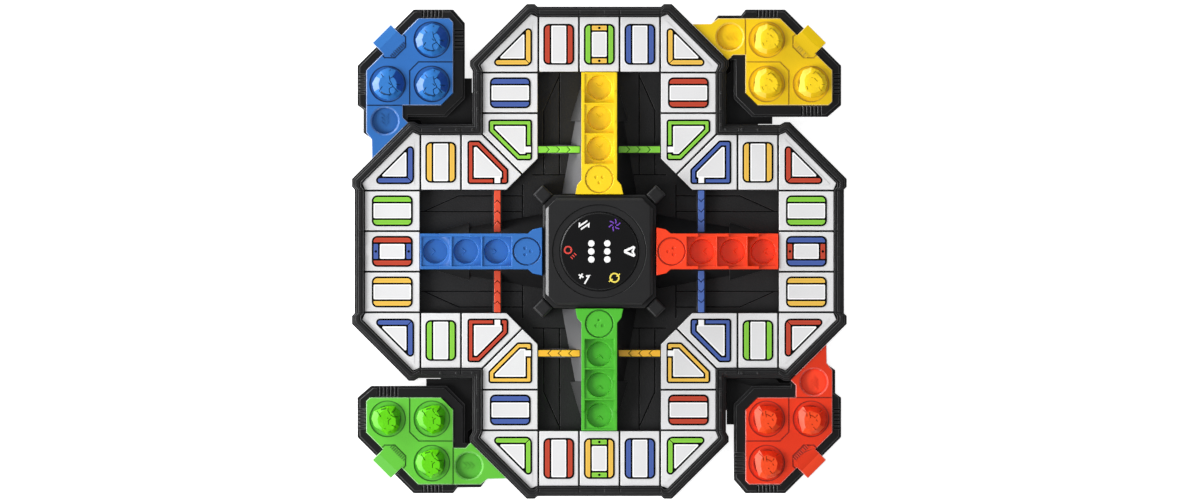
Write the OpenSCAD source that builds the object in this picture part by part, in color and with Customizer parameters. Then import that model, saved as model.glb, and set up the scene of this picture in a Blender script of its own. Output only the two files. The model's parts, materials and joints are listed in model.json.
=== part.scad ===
// Electronic ludo board: a cross-shaped track around a dice tower, with four stepped
// ramps, four bridge bars and four corner pods that hold the tokens.
// Frame: millimetres, +Z up, origin under the centre of the board on the table.

/* [Track] */
// Width of a straight tile along the track
tile_w = 27; // [25:0.1:28.5]
// Length of a tile across the track
tile_len = 38.1; // [36:0.1:40]
// Black gap between neighbouring tiles
tile_gap = 1.4; // [0.8:0.1:2]
// Length of the outer side of an elbow tile
elbow_side = 13.7; // [11:0.1:16]
// Run of the straight outer edge past the last straight tile
corner_run = 9.4; // [7:0.1:12]
// Length cut off the inner corners of the track
inner_cut = 21.7; // [18:0.1:25]
// Thickness of a tile
tile_t = 2.2; // [1.6:0.1:3]
// Height of the playing face above the table
track_z = 22; // [20:0.5:26]
// Thickness of a printed label
label_t = 0.3; // [0.2:0.05:0.5]
// Width of a label on a straight tile
label_w = 21.7; // [18:0.1:23]
// Length of a label on a straight tile
label_len = 28.7; // [24:0.1:32]
// Corner radius of a label
label_r = 3; // [1:0.1:4]
// Margin between a label and the edge of an angled tile
label_margin = 3.7; // [2.5:0.1:5]

/* [Rim] */
// Width of the rim around the track
rim_w = 6.6; // [5.6:0.1:8]
// Height of the rim above the playing face
rim_rise = 2.4; // [1:0.1:5]
// Bulge of the rim at the eight corners
rim_bulge = 1.9; // [0.5:0.1:3]
// Width of each step in the rim
rim_step = 1.3; // [0.6:0.1:1.8]
// Gap between the tiles and the rim
seat_gap = 0.7; // [0.4:0.1:1.2]
// Wall thickness of the frame
wall = 2.4; // [1.8:0.1:3]

/* [Wells] */
// Height of the well floor above the table
well_z = 11; // [10:0.5:13]
// Thickness of the well panel
panel_t = 2.5; // [1.8:0.1:3]
// Width of a panel line
line_w = 0.9; // [0.4:0.1:1.4]
// Depth of a panel line
line_d = 1.1; // [0.3:0.1:1.4]

/* [Ramps] */
// Width of a ramp
ramp_w = 25; // [23.5:0.1:27]
// Rise from one ramp cell to the next
ramp_step = 5.5; // [4:0.1:6]
// Diameter of a cup in a ramp
cup_d = 17.4; // [15:0.1:18.4]
// Depth of a cup
cup_depth = 5; // [4.5:0.1:6]
// Plastic under a cup
cup_floor = 1.6; // [1:0.1:2.5]
// Width of the square pocket around a cup
pocket_w = 20.3; // [19.5:0.1:21]
// Height of the rails beside a pocket
rail_h = 1.4; // [0.6:0.1:2]
// Width of the flared foot of a ramp at the tower
flare_w = 33.6; // [28:0.1:38]
// Diameter of the finishing disc
finish_d = 19; // [17:0.1:20]
// Width of a bridge bar
bar_w = 4.4; // [3.4:0.1:5.6]
// Height of a bridge bar
bar_h = 3; // [2:0.1:4]

/* [Tower] */
// Height of the tower above the table
tower_z = 42; // [40:0.5:48]
// Bevel around the top of the tower
tower_bevel = 2; // [1:0.1:3]
// Width of the ledge around the tower's cap
tower_ledge = 2.1; // [1:0.1:3]
// Length cut off each corner of the tower
tower_cut = 8; // [7:0.1:14]
// Diameter of the dice button
button_d = 55; // [50:0.5:60]
// Travel of the dice button
button_travel = 2; // [1:0.1:2.5]
// Width of the bezel around the button
bezel_w = 5; // [3.5:0.1:6]
// Flat land between the bezel and the side of the tower
tower_land = 7.2; // [6.5:0.1:9]
// Width of a corner post
post_w = 9.9; // [7:0.1:10.2]
// Diameter of a pip lens
pip_d = 4.6; // [3:0.1:5]
// Spacing of the pip lenses
pip_pitch = 5.6; // [5.2:0.1:6.4]
// Size of a symbol lens
symbol_size = 8; // [6:0.1:9]
// Distance of the symbol lenses from the centre
symbol_r = 21.3; // [19:0.1:22]

/* [Power] */
// Diameter of a battery cell
cell_d = 10.5; // [10:0.1:11.5]
// Length of a battery cell
cell_len = 44.5; // [40:0.1:46]
// Diameter of the speaker
speaker_d = 28; // [20:0.5:32]
// Height of the speaker
speaker_h = 5; // [3:0.1:6]
// Travel of the power knob
knob_travel = 3.4; // [2:0.1:5]

/* [Base] */
// Height of the rubber feet
foot_h = 2; // [1.5:0.1:3]
// Diameter of a rubber foot
foot_d = 12; // [8:0.5:16]
// Thickness of the base cover
cover_t = 2.5; // [2:0.1:3]
// Diameter of a case screw
screw_d = 2.6; // [2:0.1:3]
// Length of a case screw
screw_len = 10; // [8:0.5:12]

/* [Pods] */
// Spacing of the token sockets
pod_pitch = 31; // [29:0.1:33]
// Half width of the socket cells
pod_cell = 14.9; // [14.2:0.1:16]
// Offset of the inner socket from the board's inner corner
pod_offset = 28.5; // [27:0.1:31]
// Distance from the inner socket's centre to the slanted edge of a pod plate
pod_reach = 39.2; // [37:0.1:42]
// Height of a pod plate above the table
plate_z = 20; // [18:0.5:24]
// Thickness of a pod plate
plate_t = 9; // [8.5:0.1:10.5]
// Width of the tray's outer rim
tray_rim = 6.2; // [5:0.1:8]
// Width of the tray's inner rim
tray_inner = 8.2; // [7:0.1:10]
// Drop from the plate to the tray's rim
tray_drop = 1.6; // [0.5:0.1:3]
// Height of the arm that reaches into the board's corner
arm_z = 11; // [9.5:0.1:12.5]
// Diameter of the recess around a token
socket_d = 25.7; // [24.6:0.1:28]
// Depth of the recess around a token
socket_depth = 1.6; // [0.6:0.1:2]
// Diameter of the start cup
start_d = 20.6; // [18:0.1:21]
// Width of the finger tab
tab_w = 18.2; // [14:0.1:22]
// Reach of the finger tab beyond the plate
tab_len = 10.6; // [6:0.1:14]
// Clearance between a pod and the board
pod_gap = 0.4; // [0.3:0.05:0.8]

/* [Tokens] */
// Diameter of a token
token_d = 23.6; // [21:0.1:24.2]
// Height of a token above its seat
token_h = 9.2; // [8:0.1:12]
// Clearance of a token's peg in a cup
peg_gap = 0.35; // [0.3:0.05:0.6]

/* [Hidden] */
$fn = 64;
SQ2 = sqrt(2);
BLACK = "#2b2b2b";
GREY = "#d4d4d6";
COLOURS = ["#50c84b", "#3e7ed6", "#f5cd1e", "#eb4b2d"];
GREEN = 0;
BLUE = 1;
YELLOW = 2;
RED = 3;
// Small clearance between pieces that are assembled once
fit = 0.2;
// Overshoot of a cut past the face it opens
over = 1;
// Cells in a ramp, the last one being the finishing disc
cells = 4;

// Track layout, worked out from the tiles
arm_in = 1.5 * tile_w + 2 * tile_gap;
arm_out = arm_in + tile_len;
arm_half = arm_out + seat_gap + rim_w;
elbow_off = tile_gap / SQ2;
elbow_top = arm_out + elbow_off + elbow_side;
tile_in = elbow_top + 2 * tile_gap + tile_w;
tile_out = tile_in + tile_len;
board_half = tile_out + seat_gap + rim_w;
corner_sum = board_half + arm_in + corner_run;
hyp_sum = corner_sum - (rim_w + seat_gap) * SQ2;
inner_sum = 2 * arm_in + inner_cut;
lip = 0.5;
tile_z = track_z - label_t;
bed_z = tile_z - tile_t;
deck_z = bed_z - wall;
rim_z = track_z + rim_rise;
ledge_w = 2.5;
panel_side = 4.4;
panel_step = 7.5;
rim_line = 4.9;
gate_w = 7;
gate_d = 0.6;
bump_d = 1.9;
bump_h = 0.5;
bump_pitch = 11.2;

// Base layout
cover_z = foot_h + cover_t;
panel_z = well_z - panel_t;
foot_sink = 1;
foot_along = tile_out - foot_d;
foot_side = arm_in;
boss_d = 7;
boss_along = tile_in - tile_w / 2;
boss_side = arm_in + tile_len / 2;
head_d = 5;
head_h = 1.4;

// Tower layout
bezel_d = button_d + 2 * bezel_w;
tower_half = bezel_d / 2 + tower_land;
tower_wall = 2.4;
tower_top_t = 3;
tower_cap_h = 5;
tower_room = tower_half - tower_ledge - tower_wall;
post_at = tower_half - 0.1;
post_drop = 4;
post_bevel = 1;
bezel_drop = 0.5;
button_crown = 1;
button_wall = 2;
button_edge = 1;
button_t = 4;
button_gap = 0.4;
flange_w = 1.8;
flange_t = 2;
lens_t = 1.2;
stroke_w = 1.1;
switch_w = 6;
switch_h = 2;
board_t = 1.6;
board_drop = 11;
board_top = tower_z - board_drop;
board_x = tower_room - 1.5;
board_trim = 7;
board_y = board_x - board_trim;
hanger_d = 5;
hanger_x = board_x - hanger_d;
hanger_y = board_y - 2 * hanger_d;
stem_d = 7;
dome_d = 26;
dome_top = 18;
dome_wall = 1.2;
light_w = 3;
light_h = 1.2;

// Ramp layout
ramp_out = tile_in - lip;
ramp_in = tower_half + 0.3;
cell_len_r = (ramp_out - ramp_in) / cells;
rail_shift = 2.6;
ridge_w = 1.1;
taper = 0.8;
flare_start = 10;
flare_turn = 6.6;
flare_draw = 1.4;
mark_h = 0.7;
mark_w = 4.6;
mark_t = 1;
mark_off = 1;
finish_dot = 1.8;
finish_dot_r = 2.6;
bridge_shift = 0.7;
bridge_r = cell_r(2) - bridge_shift;
bar_start = ramp_w / 2 + 1.1;
beam_z = track_z - 1 - bar_h;
beam_w = bar_w + 1.8;
base_in = 0.4;
fin_out = cell_r(0) - cell_len_r / 2 + (cell_under(0) - well_z - lip) * cell_len_r / ramp_step;
fin_step = cell_r(1) - 2.3;
fin_flare = 1.15;
skirt_flare = 0.7;

// Power layout
cell_count = 3;
cell_pitch = cell_d + 5 * fit;
box_wall = 1.6;
cell_tip = 1;
contact_room = 2.8;
box_x = cell_len / 2 + contact_room + box_wall;
box_y = cell_count * cell_pitch / 2 + box_wall;
box_top = cover_z + cell_d + 6 * fit + box_wall;
cell_z = cover_z + 3 * fit + cell_d / 2;
contact_t = 0.4;
door_gap = 0.3;
door_tab = 8;
switch_body = [10, 5.6, 5];
switch_y = box_y + 5 * fit + switch_body[1] / 2;
knob_size = [3.2, 2.4];
knob_out = 0.8;

// Pod layout, in the pod's own frame with both axes pointing away from the board
pod_c = arm_half + pod_offset;
pod_lo = pod_c - pod_cell;
pod_hi = pod_c + pod_pitch + pod_cell;
pod_dist = pod_c * SQ2 + pod_reach;
pod_sum = pod_dist * SQ2;
rim_sum = corner_sum + pod_gap * SQ2;
start_shift = 1.9;
start_reach = 16.9;
start_inner = 12.6;
start_outer = 9.2;
start_rise = 2.3;
start_slant = 3.4;
start_mark_w = 5;
start_mark_pitch = 2.6;
start_mouth = 1.1;
start_u = pod_c + pod_pitch + start_shift;
start_v = rim_sum + start_reach - start_u;
start_in = start_u - start_inner;
start_out = start_u + start_outer;
step_v = start_v + start_rise;
chamfer_small = 2.6;
chamfer_large = 8.8;
tail_len = 13.3;
tail_v = start_v - tail_len;
tail_cut = 5;
tray_floor = 2.4;
tray_z = plate_z - tray_drop;
tray_diag = 6.7;
tray_lip = 1.5;
plate_bed = plate_z - plate_t;
cavity_in = 4;
tab_fold = 4.1;
tab_t = 2;
tab_droop = 2.6;
tab_gap = 0.7;
pad_depth = 7.9;
pad_cut = 5;
pad_half = tab_w / 2 + 1.2;
pad_ribs = 9;
pad_rib_pitch = 1.6;
pad_rib_w = 0.7;
pad_rib_len = 2.8;
pad_rib_h = 0.6;
rib_count = 6;
rib_pitch = 2.6;
rib_cut = 1.1;
rib_depth = 2.2;
rib_land = 1;
skirt_reach = 3;
skirt_gap = 0.4;
tongue_w = 14;
tongue_t = 3;
tongue_len = 8;
tongue_z = cover_z + 1;
tongue_gap = 0.4;
peg_d = cup_d - 2 * peg_gap;
peg_room = 0.6;
peg_len = cup_depth - peg_room;
token_sides = 9;
token_tops = 4;
token_turn = 80;

// Outline helpers

// Point turned clockwise by a number of quarter turns
function turned(p, quarters) = quarters == 0 ? p : turned([p[1], -p[0]], quarters - 1);
// Outline of all four quarters from the points of one
function four_quarters(q) = [for (k = [0:3]) for (p = q) turned(p, k)];
// Points mirrored in the diagonal, in reverse order
function across(q) = [for (i = [len(q) - 1:-1:0]) [q[i][1], q[i][0]]];
// Points mirrored left to right
function flipped(q) = [for (i = [len(q) - 1:-1:0]) [-q[i][0], q[i][1]]];
function box_points(x0, y0, x1, y1) = [[x0, y0], [x0, y1], [x1, y1], [x1, y0]];
function unit(v) = v / norm(v);
function turn_left(v) = [-v[1], v[0]];
// Crossing of two lines, each given by a point and a direction
function crossing(p, d, q, e) = p + d * (cross(q - p, e) / cross(d, e));
// Clockwise convex outline moved inwards by a distance
function inset(pts, dist) = let (n = len(pts)) [
  for (i = [0:n - 1])
    let (
      a = pts[(i + n - 1) % n], p = pts[i], b = pts[(i + 1) % n],
      d = unit(p - a), e = unit(b - p)
    )
    crossing(p - turn_left(d) * dist, d, p - turn_left(e) * dist, e)
];
// Points of an arc that rounds the corner at p
function corner_arc(a, p, b, r, steps = 5) =
  let (
    u = unit(a - p), v = unit(b - p), half = acos(u * v) / 2,
    c = p + unit(u + v) * r / sin(half),
    from = p + u * r / tan(half) - c,
    sweep = (cross(u, v) > 0 ? -1 : 1) * (180 - 2 * half)
  )
  [for (k = [0:steps])
    let (t = sweep * k / steps)
    c + [from[0] * cos(t) - from[1] * sin(t), from[0] * sin(t) + from[1] * cos(t)]];
function rounded(pts, r) = let (n = len(pts)) [
  for (i = [0:n - 1]) each corner_arc(pts[(i + n - 1) % n], pts[i], pts[(i + 1) % n], r)
];

// Outline of a line of width w through a list of points
function stroke_points(path, w) = let (n = len(path)) concat(
  [for (i = [0:n - 1]) beside(path, i, w / 2)], [for (i = [n - 1:-1:0]) beside(path, i, -w / 2)]
);
// Corner i of a path, moved to its left by a distance
function beside(path, i, dist) =
  let (
    last = len(path) - 1, d = unit(path[max(i, 1)] - path[max(i, 1) - 1]),
    e = unit(path[min(i + 1, last)] - path[min(i + 1, last) - 1])
  )
  i == 0 || i == last
    ? path[i] + turn_left(i == 0 ? e : d) * dist
    : crossing(path[i] + turn_left(d) * dist, d, path[i] + turn_left(e) * dist, e);

// Outer edge of the board, moved inwards by d
function board_points(d) =
  let (
    a = board_half - d, b = arm_half - d, s = corner_sum - d * SQ2,
    side = [
      [arm_in, a], [arm_in + rim_bulge, a + rim_bulge], [s - a - rim_bulge, a + rim_bulge],
      [b + rim_bulge, s - b - rim_bulge], [b + rim_bulge, tile_in + 2 * rim_bulge], [b, tile_in + lip]
    ]
  )
  four_quarters(concat(side, [[b, b]], across(side)));
// Edge of the cross-shaped well, moved outwards by d
function well_points(d) =
  let (
    w = arm_in - lip + d, r = tile_in - lip + d, s = inner_sum + (d - lip) * SQ2
  )
  four_quarters([[w, r], [w, s - w], [s - w, w], [r, w]]);

// Tiles on the right-hand side of the upper arm
function home_tile() = box_points(-tile_w / 2, tile_in, tile_w / 2, tile_out);
function row_tile() = box_points(tile_w / 2 + tile_gap, tile_in, 1.5 * tile_w + tile_gap, tile_out);
function arm_tile() = box_points(arm_in, tile_in - tile_gap - tile_w, arm_out, tile_in - tile_gap);
function corner_tile() = [
  [arm_in, tile_in], [arm_in, tile_out], [hyp_sum - tile_out - rim_bulge, tile_out + rim_bulge],
  [arm_out + rim_bulge, hyp_sum - arm_out - rim_bulge], [arm_out, tile_in]
];
function elbow_tile() = [
  [arm_in, inner_sum - arm_in], [arm_in, elbow_top], [arm_out, elbow_top], [arm_out, arm_out + elbow_off],
  [(inner_sum - elbow_off) / 2, (inner_sum + elbow_off) / 2]
];
function straight_label(x, y, w, l) =
  rounded(box_points(x - w / 2, y - l / 2, x + w / 2, y + l / 2), label_r);
function home_label() = straight_label(0, tile_in + tile_len / 2, label_w, label_len);
function row_label() = straight_label(tile_w + tile_gap, tile_in + tile_len / 2, label_w, label_len);
function arm_label() =
  straight_label(arm_in + tile_len / 2, tile_in - tile_gap - tile_w / 2, label_len, label_w);
function corner_label() = rounded(inset([
  [arm_in, tile_in], [arm_in, hyp_sum - arm_in], [hyp_sum - tile_in, tile_in]
], label_margin), label_r / 2);
function elbow_label() = rounded(inset(elbow_tile(), label_margin), label_r / 3);

// Labels in order along one quarter of the track, clockwise from a home tile
function quarter_labels(k) = concat(
  [for (q = [home_label(), row_label(), corner_label(), arm_label(), elbow_label()])
    [for (p = q) turned(p, k)]],
  [for (q = [elbow_label(), arm_label(), corner_label(), row_label()])
    [for (p = flipped(q)) turned(p, k + 1)]]
);
function all_labels() = [for (k = [0:3]) each quarter_labels(k)];

// Ramp cells, counted from the outer end
function cell_r(i) = ramp_out - (i + 0.5) * cell_len_r;
function cell_z(i) = track_z + i * ramp_step;
function cell_under(i) = cell_z(i) - max(cup_depth, ramp_step) - cup_floor;
// Height of the sloping line that the underside of the ramp steps along
function skirt_z(r) = cell_under(0) + (cell_r(0) - cell_len_r / 2 - r) * ramp_step / cell_len_r;

// Outline of a pod plate, moved inwards by d
function plate_points(d) =
  let (lo = pod_lo + d, hi = pod_hi - d, s = pod_sum - d * SQ2, e = rim_sum + d * SQ2, su = start_in + d)
  [
    [lo + chamfer_small, hi], [s - hi, hi], [hi, s - hi], [hi, tail_v + tail_cut], [start_out - d, tail_v],
    [start_out - d, e - start_out + d], [su - start_slant, e - su + start_slant], [su, step_v], [su, lo],
    [lo + chamfer_large, lo], [lo, lo + chamfer_large], [lo, hi - chamfer_small]
  ];
// Outline of the high part of a pod tray, moved inwards by d
function tray_points(d) =
  let (
    lo = pod_lo - tray_inner + d, hi = pod_hi + tray_rim - d,
    s = pod_sum + tray_diag * SQ2 - d * SQ2, e = rim_sum + (pod_gap + d) * SQ2,
    side = pod_hi + tray_rim / 3 - d, tail = start_out - over, inner = start_in - start_slant,
    cut = chamfer_large + tray_inner / 2
  )
  [
    [lo + tray_inner, hi], [s - hi, hi], [hi, s - hi], [hi, pod_lo], [side, pod_lo - tray_rim / 2],
    [side, tail_v + tail_cut], [tail, tail_v], [tail, e - tail], [inner, e - inner],
    [inner, lo], [lo + cut, lo], [lo, lo + cut], [lo, hi - tray_inner - rim_step]
  ];
// Outline of the low arm that fills the board's inner corner
function arm_points() =
  let (
    lo = arm_half + pod_gap, out = lo + rim_bulge + over, s = rim_sum + pod_gap * SQ2,
    top = pod_lo + 2 * chamfer_large + rim_step
  )
  [
    [lo, lo], [lo, top], [pod_lo, top], [start_in, pod_lo], [start_in, s - start_in],
    [s - out, out], [tile_in, out], [tile_in - 2 * over, lo]
  ];

// Outline of the thin skirt that closes the gap below the board's edge
function skirt_points() =
  let (lo = arm_half + pod_gap - skirt_reach, top = pod_lo + chamfer_large)
  [[lo, lo], [lo, top], [pod_lo, top], [start_in, pod_lo], [start_in, lo]];

// Shape helpers

module slab(pts, z0, z1) translate([0, 0, z0]) linear_extrude(z1 - z0) polygon(pts);
module quarter(k) rotate([0, 0, -90 * k]) children();
module quarters() for (k = [0:3]) quarter(k) children();
// Places a shape on both sides of the upper arm
module both_sides() {
  children();
  mirror([1, 0, 0]) children();
}
// Places a shape of the first pod, at the upper left, as pod k
module pod(k) quarter(k) mirror([1, 0, 0]) children();
// Block with bevelled upper edges
module bevel_block(half, z0, z1, bevel) {
  profile = [
    [-half, z0], [half, z0], [half, z1 - bevel], [half - bevel, z1], [bevel - half, z1], [-half, z1 - bevel]
  ];
  intersection() {
    rotate([90, 0, 0]) linear_extrude(2 * half, center = true) polygon(profile);
    rotate([90, 0, 90]) linear_extrude(2 * half, center = true) polygon(profile);
  }
}
// Box between two corners
module span(low, high) translate(low) cube(high - low);
// Groove of the panel-line size along a path, sunk into a face at height z
module groove(path, z) {
  for (i = [0:len(path) - 2]) {
    run = path[i + 1] - path[i];
    translate([path[i][0], path[i][1], z - line_d])
      rotate([0, 0, atan2(run[1], run[0])])
        translate([-line_w / 2, -line_w / 2, 0]) cube([norm(run) + line_w, line_w, line_d + over]);
  }
}
// Outline of a chevron that points along +Y
function chevron_points(w, t) = [
  [-w / 2, -w / 2], [-w / 2, t - w / 2], [0, t], [w / 2, t - w / 2], [w / 2, -w / 2], [0, 0]
];
// Cup with a slightly tapered wall and a bevelled mouth at the origin, as a cutting tool
module cup_cut(d, mouth) {
  rotate_extrude()
    polygon([
      [0, -cup_depth], [d / 2 - mouth - taper / 2, -cup_depth], [d / 2 - mouth, -taper],
      [d / 2, 0], [d / 2, over], [0, over]
    ]);
}

// Chevron raised on the floor of a cup whose mouth is at the origin
module cup_mark(w) translate([0, 0, -cup_depth - mark_h]) rotate([0, 0, 180])
  linear_extrude(2 * mark_h) polygon(chevron_points(w, mark_t));

// Frame and base

module track_frame() {
  color(BLACK) difference() {
    union() {
      slab(board_points(0), foot_h, track_z - rim_step);
      slab(board_points(rim_step), foot_h, track_z + rim_rise / 2);
      slab(board_points(2 * rim_step), foot_h, rim_z);
      quarters() rim_bumps();
    }
    difference() {
      slab(board_points(rim_line), rim_z - line_d, rim_z + over);
      slab(board_points(rim_line + line_w), rim_z - line_d, rim_z + over);
    }
    slab(board_points(rim_w), bed_z, rim_z + over);
    difference() {
      slab(board_points(wall), foot_h - over, deck_z);
      slab(well_points(wall), foot_h - over, deck_z + over);
      quarters() both_sides() translate([boss_side, boss_along, cover_z]) cylinder(d = boss_d, h = deck_z);
    }
    slab(well_points(0), panel_z, rim_z + over);
    slab(well_points(-ledge_w), foot_h - over, panel_z + over);
    slab(well_points(wall + over), foot_h - over, cover_z);
    quarters() both_sides() translate([boss_side, boss_along, cover_z - over])
      cylinder(d = screw_d, h = screw_len - cover_t + 2 * over);
    quarters() tongue_slot();
    quarters() rim_notches();
  }
}
// Slot in the board's inner corner for a pod's tongue
module tongue_slot() {
  rotate([0, 0, 45])
    span(
      [arm_half * SQ2 - tongue_len - 2 * over, -tongue_w / 2 - tongue_gap, tongue_z - tongue_gap],
      [arm_half * SQ2 + tongue_w, tongue_w / 2 + tongue_gap, tongue_z + tongue_t + tongue_gap]
    );
}
// Three bumps on the rim at both sides of an arm
module rim_bumps() both_sides() for (n = [0:2])
  translate([arm_half - 2 * rim_step - bump_d / 2, arm_half + n * bump_pitch, track_z])
    cylinder(d = bump_d, h = rim_rise + bump_h);
// Notches across the rim, in line with the joints between the tiles, and a wide one at its middle
module rim_notches() {
  translate([0, board_half, rim_z]) cube([gate_w, 2 * rim_w, 2 * gate_d], center = true);
  both_sides() {
    translate([tile_w / 2 + tile_gap / 2, board_half, rim_z])
      cube([line_w, 2 * rim_w, 2 * line_d], center = true);
    translate([1.5 * tile_w + 1.5 * tile_gap, board_half, rim_z])
      cube([line_w, 2 * rim_w, 2 * line_d], center = true);
    for (y = [tile_in - 0.5 * tile_gap, tile_in - 1.5 * tile_gap - tile_w])
      translate([arm_half, y, rim_z]) cube([2 * rim_w, line_w, 2 * line_d], center = true);
  }
}
module well_panel() {
  x0 = (ramp_w / 2 + arm_in) / 2;
  x1 = arm_in - panel_side;
  y0 = tile_in - lip;
  y1 = inner_sum / 2 - lip;
  room = tower_room - fit;
  color(BLACK) difference() {
    slab(well_points(-fit), panel_z, well_z);
    span([-room, -room, panel_z - over], [room, room, well_z + over]);
    quarters() both_sides() {
      groove([[x0, y0 - lip], [x0, y1]], well_z);
      groove([[x0, y0 - panel_t], [x1, y0 - tile_w], [x1, y1]], well_z);
      groove([[x0 - panel_step, y1], [x1 + panel_step, y1]], well_z);
    }
  }
}
module base_cover() {
  color(BLACK) difference() {
    slab(board_points(wall + fit), foot_h, cover_z);
    foot_places() translate([0, 0, foot_h - over]) cylinder(d = foot_d + 2 * fit, h = foot_sink + over);
    screw_places() {
      translate([0, 0, foot_h - over]) cylinder(d = screw_d + 4 * fit, h = cover_t + 2 * over);
      translate([0, 0, foot_h - over]) cylinder(d = head_d + 3 * fit, h = head_h + over);
    }
    door_opening();
    translate([0, switch_y, 0])
      span(
        [-knob_size[0] / 2 - door_gap, -knob_size[1] / 2 - door_gap, 0],
        [knob_size[0] / 2 + knob_travel + door_gap, knob_size[1] / 2 + door_gap, cover_z + over]
      );
  }
}
module screw_places() quarters() both_sides() translate([boss_side, boss_along, 0]) children();
module foot_places() quarters() both_sides() translate([foot_side, foot_along, 0]) children();
module case_screws() {
  color("#8a8d90") screw_places() translate([0, 0, foot_h]) {
    cylinder(d = head_d, h = head_h);
    cylinder(d = screw_d - fit / 2, h = screw_len);
  }
}
module rubber_feet() {
  color("#1c1c1c") foot_places() cylinder(d = foot_d, h = foot_h + foot_sink);
}

// Tiles and labels

module tile(pts) slab(pts, bed_z, tile_z);
module tiles_straight() color(GREY) quarters() both_sides() {
  tile(row_tile());
  tile(arm_tile());
}
module tiles_corner() color(GREY) quarters() both_sides() tile(corner_tile());
module tiles_elbow() color(GREY) quarters() both_sides() tile(elbow_tile());
module tiles_home() color(GREY) quarters() tile(home_tile());
// Labels of one colour: the four colours follow each other around the track
module labels(colour) {
  all = all_labels();
  color(COLOURS[colour]) for (n = [colour:4:len(all) - 1]) slab(all[n], tile_z, track_z);
}

// Ramps and bridges

module ramp(k, colour) color(COLOURS[colour]) quarter(k) {
  difference() {
    union() {
      for (i = [0:cells - 1]) ramp_cell(i);
      slab(flare_points(), cell_under(cells - 1), cell_z(cells - 1) + rail_h);
    }
    for (i = [0:cells - 2]) translate([0, cell_r(i), cell_z(i)]) cup_cut(cup_d, taper / 4);
    translate([0, cell_r(cells - 1), cell_z(cells - 1) + rail_h]) finish_cut();
  }
  for (i = [0:cells - 2]) translate([0, cell_r(i) + mark_off, cell_z(i)]) cup_mark(mark_w);
}
// Foot of a ramp that widens towards the tower
function flare_points() =
  let (
    w = ramp_w / 2, f = flare_w / 2,
    side = [
      [-f, ramp_in], [flare_draw - f, ramp_in + flare_turn],
      [-w, ramp_in + flare_start], [-w, ramp_in + cell_len_r]
    ]
  )
  concat(side, flipped(side));
// One step of a ramp: floor, low ridge at its outer edge and side rails
module ramp_cell(i) {
  w = ramp_w / 2;
  lo = cell_r(i) - cell_len_r / 2;
  hi = cell_r(i) + cell_len_r / 2;
  z = cell_z(i);
  mid = cell_r(i) - rail_shift;
  lap = i > 0 ? fit : 0;
  span([-w, lo, cell_under(i)], [w, hi + lap, z]);
  if (i < cells - 1) {
    span([-w, hi - ridge_w, cell_under(i)], [w, hi, z + rail_h]);
    both_sides() {
      span([pocket_w / 2, mid, z - over], [w, hi, z + rail_h]);
      span([pocket_w / 2, lo, z - over], [w, mid, z + ramp_step + rail_h]);
    }
  }
}
// Ring groove, sunken disc and three dimples of the finishing place
module finish_cut() {
  difference() {
    translate([0, 0, -rail_h]) cylinder(d = finish_d + line_w, h = rail_h + over);
    translate([0, 0, -2 * rail_h]) cylinder(d = finish_d - line_w, h = 3 * rail_h / 2);
  }
  for (a = [0:120:240]) rotate([0, 0, a + 30]) translate([finish_dot_r, 0, -rail_h])
    cylinder(d = finish_dot, h = rail_h + over);
}
module ramp_bases() color(BLACK) quarters() {
  w = ramp_w / 2 - base_in;
  difference() {
    union() {
      for (i = [0:cells - 1])
        span(
          [-w, max(cell_r(i) - cell_len_r / 2 - over, ramp_in), well_z],
          [w, min(cell_r(i) + cell_len_r / 2 - fit, ramp_out - base_in), cell_under(i)]
        );
      fin(fin_out, fin_step, fin_flare);
      fin(fin_step + over, ramp_in, skirt_flare);
      span(
        [-arm_in + lip + fit, bridge_r - beam_w / 2, well_z],
        [arm_in - lip - fit, bridge_r + beam_w / 2, beam_z]
      );
    }
    bar_channel();
  }
}
// Drafted side wall between two distances from the centre
module fin(outer, inner, flare) {
  w = ramp_w / 2 - base_in;
  function foot(r) = w + flare * (skirt_z(r) - well_z);
  pts = [
    for (r = [inner, outer]) each [
      [-foot(r), r, well_z], [foot(r), r, well_z], [w, r, skirt_z(r)], [-w, r, skirt_z(r)]
    ]
  ];
  sides = [[3, 2, 1, 0], [4, 5, 6, 7], [0, 1, 5, 4], [1, 2, 6, 5], [2, 3, 7, 6], [3, 0, 4, 7]];
  polyhedron(pts, [for (q = sides) each [[q[0], q[1], q[2]], [q[0], q[2], q[3]]]]);
}
// Room in the fins for the bridge bars
module bar_channel() both_sides()
  span(
    [bar_start - fit, bridge_r - bar_w / 2 - fit, beam_z],
    [arm_in, bridge_r + bar_w / 2 + fit, beam_z + bar_h + ramp_step]
  );
module bridge(k, colour) color(COLOURS[colour]) quarter(k) {
  run = arm_in - lip - fit - bar_start;
  for (x = [bar_start, -bar_start - run]) difference() {
    span([x, bridge_r - bar_w / 2, beam_z], [x + run, bridge_r + bar_w / 2, beam_z + bar_h]);
    for (n = [1:3])
      translate([x + n * run / 4, bridge_r, beam_z + bar_h - line_d]) rotate([0, 0, -90])
        linear_extrude(line_d + over) polygon(chevron_points(bar_w + over, line_w));
  }
}

// Tower

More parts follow.
